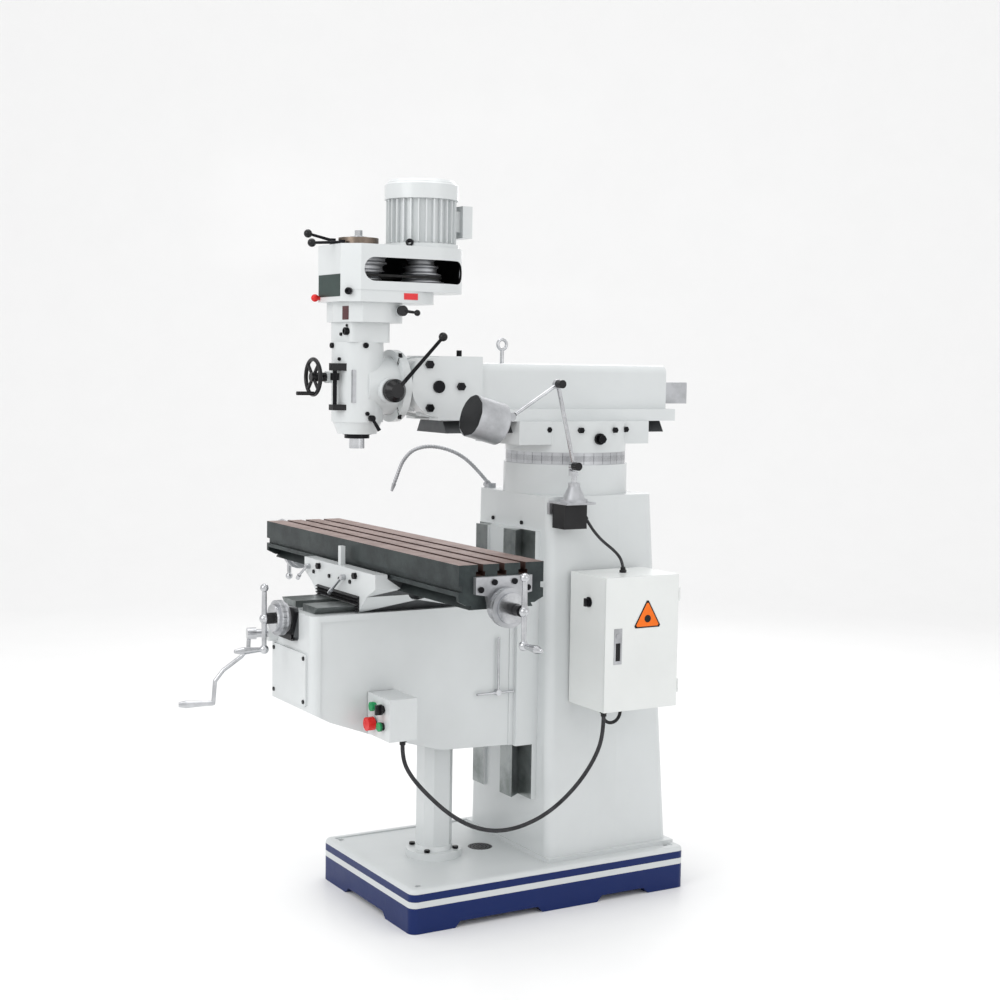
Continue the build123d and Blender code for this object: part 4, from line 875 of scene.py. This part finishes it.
@dataclass
class TableGroup:
    """Saddle, table, their screws and locks."""
    top: float = 1.0816
    middle: float = -0.396
    long_screw: float = 0.971
    saddle_seat: float = 0.893
    skin: float = 0.0004

    def build(self) -> None:
        """Dresses the saddle and the table."""
        # Painted shade: the saddle's faces under the table take the dark finish. Its foot above the knee does
        # too, partly for its own ground ways and partly as painted shade in the gap.
        shade_under_table = both(above(Z, 0.93), within(Y, self.middle, 0.101), below(Z, 1.0))
        dark = either(below(Z, self.saddle_seat + 0.021), shade_under_table)
        dress("saddle_casting", Finish.WHITE, (Finish.DARK, dark))
        post = inside((-0.03, -0.56, 1.0), (-0.009, -0.53, 1.07))
        dress("table_stop", Finish.BLACKED, (Finish.WHITE, post))
        dress("way_cover", Finish.SATIN)
        dress("table_lock_left", Finish.STEEL)
        dress("table_lock_right", Finish.STEEL)
        lands = above(Z, self.top - self.skin)
        slots = both(above(Z, self.top - 0.031), below(Z, self.top - self.skin),
                     within(Y, self.middle, 0.12), within(X, 0, 0.634))
        dress("table_casting", Finish.TABLE, (Finish.LAND, lands), (Finish.SLOT, slots))
        bolts = both(beyond(X, 0, 0.6492), above(Z, 1.009), beyond(Y, self.middle, 0.02))
        dress("table_brackets", Finish.CAST, (Finish.BLACKED, bolts))
        dress("long_crank", Finish.STEEL, *self.crank_zones())

    def crank_zones(self) -> list[tuple[object, Mask]]:
        """The dial and the black hub at each end of the long screw.

        Returns:
            Pairs of a finish and a mask.
        """
        zones = []
        axis = (self.middle, self.long_screw)
        for end, side in (("l", -1), ("r", 1)):
            dial = Graduated(f"long_dial_{end}", (side * 0.671, *axis), (0, math.pi / 2, 0), 200, 0.010)
            for finish, radius, start, stop in ((dial, 0.053, 0.6605, 0.6815),
                                                (Finish.BLACK, 0.0175, 0.6915, 0.7375)):
                low, high = sorted((side * start, side * stop))
                zones.append((finish, round_axis(X, axis, radius, low, high)))
        return zones


@dataclass
class Upper:
    """Turret, ram, adapter and knuckle."""
    turret_axis: tuple[float, float] = (0, 0.2)
    turret_radius: float = 0.1853
    ring_top: float = 1.3352
    bolt_level: float = 1.402

    def build(self) -> None:
        """Dresses the turret and the ram."""
        ring = below(Z, self.ring_top)
        round_part = round_axis(Z, self.turret_axis, self.turret_radius)
        bolts = both(above(X, 0.11), within(Z, self.bolt_level, 0.0096), without(round_part))
        corners = both(either(above(Y, 0.345), below(Y, 0.045)), without(ring))
        dress("turret_casting", Finish.WHITE, (Finish.RING, ring), (Finish.BLACKED, bolts),
              (Finish.WHITE, corners))
        dress("ram_pinion", Finish.BLACKED)
        dress("ram_casting", Finish.WHITE, (Finish.DARK, below(Z, 1.4275)))
        dress("ram_adapter", Finish.WHITE, (Finish.BLACKED, below(Z, 1.4301)))
        rear_bar = inside((-0.03, 0.5, 1.4), (0.03, 0.7, 1.6))
        lifting_eye = inside((-0.02, -0.06, 1.59), (0.02, 0.0, 1.7))
        dress("ram_fittings", Finish.BLACKED, (Finish.CAST, rear_bar), (Finish.STEEL, lifting_eye))
        dress("nod_knuckle", Finish.WHITE)


def cap_screw(name: str, spot: Point, out: Point, radius: float, body: str) -> None:
    """A socket cap screw standing on a face: its head, rounded edge and the hollow in its top.

    Args:
        name: the piece's name.
        spot: the point of the face it stands on.
        out: the direction away from the face.
        radius: its head's radius.
        body: the body it rides on.
    """
    height = radius * 1.1
    hollow = radius * 0.5
    profile = [(0, -0.001), (radius, -0.001), (radius, height * 0.82), (radius * 0.86, height),
               (hollow, height), (hollow, height * 0.45), (0, height * 0.45)]
    piece = revolve(name, profile, out, spot, Finish.BLACKED, 24)
    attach(piece, body)


@dataclass
class Head:
    """Head castings, belt drive, quill, spindle and the levers."""
    plate_places: tuple[tuple[str, Finish, float, float, float, float, float], ...] = (
        ("speed_plate", Finish.PLATE_GREEN, -0.070, 0.074, -0.6001, 1.776, 1.838),
        ("feed_plate", Finish.PLATE_RED, -0.008, 0.073, -0.5731, 1.712, 1.750),
    )
    label: tuple[float, float, float, float] = (-0.424, -0.380, 1.771, 1.789)
    housing_screws: tuple[tuple[float, float, float], ...] = (
        (-95, 1.640, 0.008), (-8, 1.641, 0.008), (-68, 1.602, 0.005), (-3, 1.449, 0.006))
    casing_screws: tuple[tuple[Point, Point, float], ...] = (
        ((0.0745, -0.383, 1.934), (0.72, -0.69, 0), 0.011),
        ((0.0972, -0.584, 1.790), (0.72, -0.69, 0), 0.010),
        ((0.052, -0.566, 1.680), (0, -1, 0), 0.011), ((0.012, -0.566, 1.672), (0, -1, 0), 0.005),
        ((0.050, -0.566, 1.696), (0, -1, 0), 0.004))
    spindle_axis: tuple[float, float] = (0, -0.51)
    quill_housing_radius: float = 0.0735
    label_face: float = 0.1181
    stud_radius: float = 0.0065

    def build(self) -> None:
        """Dresses the head."""
        studs = [(Finish.BLACKED, round_axis(Z, (x, -0.404), self.stud_radius)) for x in (0.06, -0.06)]
        dress("head_casting", Finish.WHITE, *studs)
        dress("gear_housing", Finish.WHITE)
        cap = round_axis(Z, self.spindle_axis, 0.0575, 1.9221, 1.95)
        # Painted shade: the housing's inner walls are painted satin black for the dark inside it.
        shaded_inside = facing((0, -0.4, 1.85), (-0.13, -0.60, 1.79), (0.13, -0.15, 1.925))
        dress("belt_housing", Finish.WHITE, (Finish.SATIN, shaded_inside), (Finish.BRONZE, cap))
        dress("motor", Finish.WHITE)
        dress("motor_pulley", Finish.CAST, (Finish.BLACKED, above(Z, 1.93)))
        dress("spindle_pulley", Finish.CAST)
        dress("drive_belt", Finish.BELT)
        rod = round_axis(Z, (0.034, -0.596), 0.0065, 1.4735, 1.5695)
        scale = inside((0.057, -0.56, 1.4795), (0.067, -0.54, 1.573))
        dress("depth_stop", Finish.SATIN, (Finish.BLACKED, rod), (Finish.CAST, scale))
        dress("depth_stop_nut", Finish.BLACKED)
        dress("quill", Finish.STEEL, (Finish.BLACKED, below(Z, 1.3915)))
        dress("spindle", Finish.STEEL)
        dress("feed_lever", Finish.BLACKED, (Finish.BLACK, near((0.140, -0.309, 1.669), 0.0136)),
              (Finish.BLACK, round_axis(X, (-0.448, 1.515), 0.0345, 0.1042, 0.137)))
        shaft = round_axis(Y, (-0.03, 1.55), 0.0085, -0.597, -0.57)
        dress("fine_feed_wheel", Finish.BLACK, (Finish.STEEL, shaft))
        dress("brake_lever", Finish.BLACKED, (Finish.BLACK, near((-0.035, -0.65, 1.952), 0.0126)))
        dress("clutch_lever", Finish.BLACKED, (Finish.BLACK, near((0.032, -0.668, 1.922), 0.0126)))
        dress("gear_lever", Finish.BLACK)
        dress("quill_lock", Finish.BLACKED)
        dress("feed_knob", Finish.RED)
        self.plates()
        self.screws()

    def plates(self) -> None:
        """Plain plates on the housings, with no lettering."""
        for name, finish, x0, x1, y, z0, z1 in self.plate_places:
            corners = [(x0, y, z0), (x1, y, z0), (x1, y, z1), (x0, y, z1)]
            piece = plate(name, corners, 0.0012, finish)
            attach(piece, "head")
        y0, y1, z0, z1 = self.label
        x = self.label_face
        corners = [(x, y0, z0), (x, y1, z0), (x, y1, z1), (x, y0, z1)]
        piece = plate("red_label", corners, 0.0008, Finish.LABEL_RED, 0.0002)
        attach(piece, "head")

    def screws(self) -> None:
        """Black cap screws round the quill housing and the gear casing."""
        for k, (angle, height, radius) in enumerate(self.housing_screws):
            turn = math.radians(angle)
            out = (math.cos(turn), math.sin(turn), 0)
            reach = self.quill_housing_radius
            spot = (out[0] * reach, self.spindle_axis[1] + out[1] * reach, height)
            cap_screw(f"housing_screw_{k}", spot, out, radius, "head")
        for k, (spot, out, radius) in enumerate(self.casing_screws):
            cap_screw(f"casing_screw_{k}", spot, out, radius, "head")


@dataclass
class Cabinet:
    """Electrical cabinet on the column."""
    sign_centre: Point = (0.414, 0.2275, 0.8675)
    sign_size: float = 0.082
    tip_reach: float = 0.62
    tip_clip: float = 4

    def build(self) -> None:
        """Dresses the cabinet and hangs the plain warning triangle on its door."""
        dress("cabinet_shell", Finish.PANEL)
        lock = inside((0.4125, 0.1118, 0.7378), (0.42, 0.1402, 0.8422))
        lock_pocket = inside((0.41, 0.1175, 0.7475), (0.4138, 0.1345, 0.8005))
        dress("cabinet_door", Finish.PANEL, (Finish.CAST, lock), (Finish.BLACK, lock_pocket))
        glands = either(below(Z, 0.612), above(Z, 0.9775))
        dress("cabinet_fittings", Finish.GREY, (Finish.SATIN, glands))
        dress("main_switch", Finish.BLACK)
        self.sign()

    def triangle(self, name: str, size: float, out: float, thick: float, finish: Finish) -> None:
        """A triangular plate with clipped tips, flat on the door.

        Args:
            name: the piece's name.
            size: the triangle's size.
            out: how far it stands off the sign's centre.
            thick: its thickness.
            finish: its finish.
        """
        x, y, z = self.sign_centre
        reach = size * self.tip_reach
        corners = []
        for k in range(3):
            tip = math.radians(90 + 120 * k)
            for lean in (-self.tip_clip, self.tip_clip):
                turn = tip + math.radians(lean)
                corners.append((x + out, y + reach * math.cos(turn), z + reach * math.sin(turn)))
        piece = plate(name, corners, thick, finish, 0.0003)
        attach(piece, "door")

    def sign(self) -> None:
        """The sign: a black triangle, an orange one on it, and a plain dot."""
        self.triangle("sign_back", self.sign_size, 0.0002, 0.0008, Finish.BLACK)
        self.triangle("sign_face", self.sign_size * 0.86, 0.0011, 0.0004, Finish.ORANGE)
        x, y, z = self.sign_centre
        dot = revolve("sign_dot", [(0, 0), (0.011, 0), (0.011, 0.0005), (0, 0.0005)], (1, 0, 0),
                      (x + 0.0017, y, z - 0.002), Finish.BLACK, 24)
        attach(dot, "door")


@dataclass
class Lamp:
    """Work lamp on its jointed arm."""
    middle: Point = (0.27, -0.240, 1.437)
    lift: float = 15
    knob_side: float = 0.2795
    face_start: float = 0.035
    face_radius: float = 0.0568
    dot_reach: float = 0.0402
    dot_profile: tuple[tuple[float, float], ...] = (
        (0, -0.0006), (0.009, -0.0006), (0.009, 0.003), (0.007, 0.004), (0, 0.004))
    dots: tuple[tuple[str, Finish, float, float], ...] = (
        ("lamp_dot_red", Finish.RED, 0.004, 0.022), ("lamp_dot_green", Finish.GREEN, -0.022, 0.030))

    def build(self) -> None:
        """Dresses the lamp and sets the indicator dots on its face."""
        switch = inside((0.218, 0.018, 1.119), (0.286, 0.11, 1.1921))
        dress("lamp_bracket", Finish.CAST, (Finish.SATIN, switch))
        dress("lamp_stem", Finish.STEEL)
        knob = above(X, self.knob_side)
        dress("lamp_lower_arm", Finish.STEEL, (Finish.BLACK, knob))
        dress("lamp_upper_arm", Finish.STEEL, (Finish.BLACK, knob))
        aim = np.array((0, -math.cos(math.radians(self.lift)), math.sin(math.radians(self.lift))))
        dress("lamp_head", Finish.CAST, (Finish.BLACK, self.face(aim)))
        for name, finish, rise, side in self.dots:
            spot = np.array(self.middle) + aim * self.dot_reach + np.array((side, 0, rise))
            dot = revolve(name, self.dot_profile, tuple(aim), tuple(spot), finish, 24)
            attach(dot, "lamp_shade")

    def face(self, aim: np.ndarray) -> Mask:
        """A mask of the shade's front face.

        Args:
            aim: the direction the lamp looks in.
        Returns:
            The mask.
        """
        middle = np.array(self.middle)

        def mask(p: np.ndarray) -> np.ndarray:
            """Whether each point is far enough ahead and near enough to the shade's axis."""
            away = p[:, :3] - middle
            along = away @ aim
            off_axis = np.linalg.norm(away - along[:, None] * aim, axis=1)
            return (along > self.face_start) & (off_axis < self.face_radius)

        return mask


@dataclass
class Cords:
    """The two cables and the coolant hose."""
    control_route: tuple[Point, ...] = (
        (0.375, 0.108, 0.582), (0.375, 0.108, 0.528), (0.373, 0.084, 0.462), (0.366, 0.028, 0.385),
        (0.356, -0.052, 0.318), (0.345, -0.135, 0.282), (0.334, -0.215, 0.272), (0.320, -0.290, 0.290),
        (0.302, -0.355, 0.330), (0.282, -0.412, 0.385), (0.264, -0.458, 0.440), (0.252, -0.482, 0.492),
        (0.252, -0.482, 0.534))
    lamp_route: tuple[Point, ...] = (
        (0.272, 0.103, 1.146), (0.275, 0.113, 1.130), (0.280, 0.126, 1.110), (0.287, 0.142, 1.090),
        (0.296, 0.159, 1.073), (0.305, 0.175, 1.059), (0.313, 0.190, 1.042), (0.318, 0.200, 1.024),
        (0.319, 0.203, 1.006))
    hose_route: tuple[Point, ...] = (
        (-0.192, 0.034, 1.226), (-0.198, 0.012, 1.253), (-0.215, -0.034, 1.302), (-0.235, -0.084, 1.328),
        (-0.259, -0.137, 1.338), (-0.281, -0.182, 1.326), (-0.300, -0.208, 1.291), (-0.313, -0.220, 1.246),
        (-0.318, -0.228, 1.218))
    control_radius: float = 0.006
    lamp_radius: float = 0.0045
    link_length: float = 0.0085
    link_radius: float = 0.0052
    link_swell: float = 0.0011
    link_margin: float = 0.004
    link_samples: int = 560

    def build(self) -> None:
        """Makes the cords."""
        self.control_cable()
        self.lamp_cable()
        dress("coolant_hose", Finish.CAST)
        self.hose_links()

    def hose_links(self) -> None:
        """The hose's ball links: a sleeve whose radius swells once in each link's length."""
        path = spline_points(self.hose_route)
        run = np.concatenate([[0], np.cumsum(np.linalg.norm(np.diff(path, axis=0), axis=1))])
        even = np.linspace(self.link_margin, run[-1] - self.link_margin, self.link_samples)
        places = np.stack([np.interp(even, run, path[:, k]) for k in range(3)], axis=1)
        swell = np.abs(np.sin(math.pi * even / self.link_length))
        radius = self.link_radius + self.link_swell * swell
        links = tube("hose_links", places, radius, Finish.CAST, 14)
        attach(links, "frame")

    def control_cable(self) -> None:
        """Cable from the cabinet to the knee's box: a mesh tube."""
        path = spline_points(self.control_route)
        cable = tube("control_cord", path, np.full(len(path), self.control_radius), Finish.RUBBER)
        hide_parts("control_cable")
        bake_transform(cable)
        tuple(self.control_route[0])

    def lamp_cable(self) -> None:
        """Cable from the lamp's switch box to the cabinet's top."""
        cable = cord_curve("lamp_cord", self.lamp_route, self.lamp_radius)
        cable.data.materials.append(material_of(Finish.RUBBER))
        path = spline_points(self.lamp_route)
        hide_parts("lamp_cable")
        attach(cable, "frame")
        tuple(self.lamp_route[0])


# --- studio
@dataclass
class Studio:
    """Camera, floor and soft lights."""
    place: Point = (4.268, -2.544, 1.595)
    azimuth: float = 59.51
    pitch: float = 4.73
    roll: float = 0.89
    lens: float = 59.2
    sensor: float = 36.0
    floor_rows: int = 60
    floor_columns: int = 5
    floor_start: float = -3.5
    floor_reach: float = 9.0
    floor_half_width: float = 14
    wall_height: float = 9.0
    bend_radius: float = 2.5
    flat_share: float = 0.45
    bend_share: float = 0.25
    wall_start: float = 0.70
    wall_share: float = 0.30
    aim: Point = (0, -0.1, 1.1)
    lights: tuple[tuple[str, Point, float, float], ...] = (
        ("key", (1.2, -4.6, 3.4), 2.6, 62), ("fill", (5.2, 1.2, 2.6), 3.0, 24),
        ("top", (-0.4, -0.4, 4.6), 3.0, 44), ("rim", (-3.5, 3.0, 3.2), 2.0, 30))
    backdrop: float = 0.95

    def camera(self) -> None:
        """The camera: looks along azimuth and pitch, and leans by the roll."""
        az, pitch, roll = (math.radians(a) for a in (self.azimuth, self.pitch, self.roll))
        ahead = Vector((-math.sin(az) * math.cos(pitch), math.cos(az) * math.cos(pitch), -math.sin(pitch)))
        right = Vector((math.cos(az), math.sin(az), 0))
        up = right.cross(ahead)
        lean_right = right * math.cos(roll) + up * math.sin(roll)
        lean_up = up * math.cos(roll) - right * math.sin(roll)
        data = bpy.data.cameras.new("camera")
        data.lens = self.lens
        data.sensor_width = self.sensor
        data.clip_end = 60
        camera = bpy.data.objects.new("camera", data)
        basis = Matrix((lean_right, lean_up, -ahead)).transposed().to_4x4()
        camera.matrix_world = Matrix.Translation(self.place) @ basis
        bpy.context.scene.collection.objects.link(camera)
        bpy.context.scene.camera = camera

    def floor(self) -> None:
        """A pale floor that curves up into a wall behind, as one swept sheet."""
        run = np.linspace(0, 1, self.floor_rows)
        bend = np.clip((run - self.flat_share) / self.bend_share, 0, 1) * (math.pi / 2)
        flat = np.minimum(run / self.flat_share, 1) * self.floor_reach
        rise = np.clip((run - self.wall_start) / self.wall_share, 0, 1) * self.wall_height
        ahead = flat + self.floor_start + self.bend_radius * np.sin(bend)
        height = self.bend_radius * (1 - np.cos(bend)) + rise
        az = math.radians(self.azimuth)
        back = np.array((-math.sin(az), math.cos(az), 0))
        side = np.array((math.cos(az), math.sin(az), 0))
        across = np.linspace(-self.floor_half_width, self.floor_half_width, self.floor_columns)
        points = (ahead[:, None, None] * back + height[:, None, None] * np.array((0, 0, 1))
                  + across[None, :, None] * side)
        faces = grid_faces(self.floor_rows, self.floor_columns, False, False)
        obj = mesh_object("studio_floor", points.reshape(-1, 3), faces, self.paper())

    def paper(self) -> Enamel:
        """The floor's finish."""
        return Enamel("studio_paper", (0.93, 0.93, 0.93), 0.8, 0.000001, 0.01)

    def light(self, name: str, place: Point, size: float, power: float) -> None:
        """One square soft light aimed at the machine.

        Args:
            name: the light's name.
            place: where it hangs.
            size: its side.
            power: its power in watts.
        """
        data = bpy.data.lights.new(name, "AREA")
        data.shape = "SQUARE"
        data.size = size
        data.energy = power
        lamp = bpy.data.objects.new(name, data)
        lamp.location = place
        lamp.rotation_euler = (Vector(self.aim) - Vector(place)).to_track_quat("-Z", "Y").to_euler()
        bpy.context.scene.collection.objects.link(lamp)

    def build(self) -> None:
        """Sets the camera, the floor, the lights and the tone."""
        self.camera()
        self.floor()
        for name, place, size, power in self.lights:
            self.light(name, place, size, power)
        world = bpy.data.worlds.new("studio")
        world.use_nodes = True
        world.node_tree.nodes["Background"].inputs["Color"].default_value = (1, 1, 1, 1)
        world.node_tree.nodes["Background"].inputs["Strength"].default_value = self.backdrop
        scene = bpy.context.scene
        scene.world = world
        scene.view_settings.view_transform = "Standard"
        scene.view_settings.look = "None"
        scene.view_settings.exposure = 0.0


# --- main
def main() -> None:
    """Builds every sub-assembly in order."""
    Studio().build()
    Cords().build()
    for part in (BaseAndColumn(), Knee(), TableGroup(), Upper(), Head(), Cabinet(), Lamp()):
        part.build()
        LOG.info("built %s", type(part).__name__)


if __name__ == "__main__":
    main()
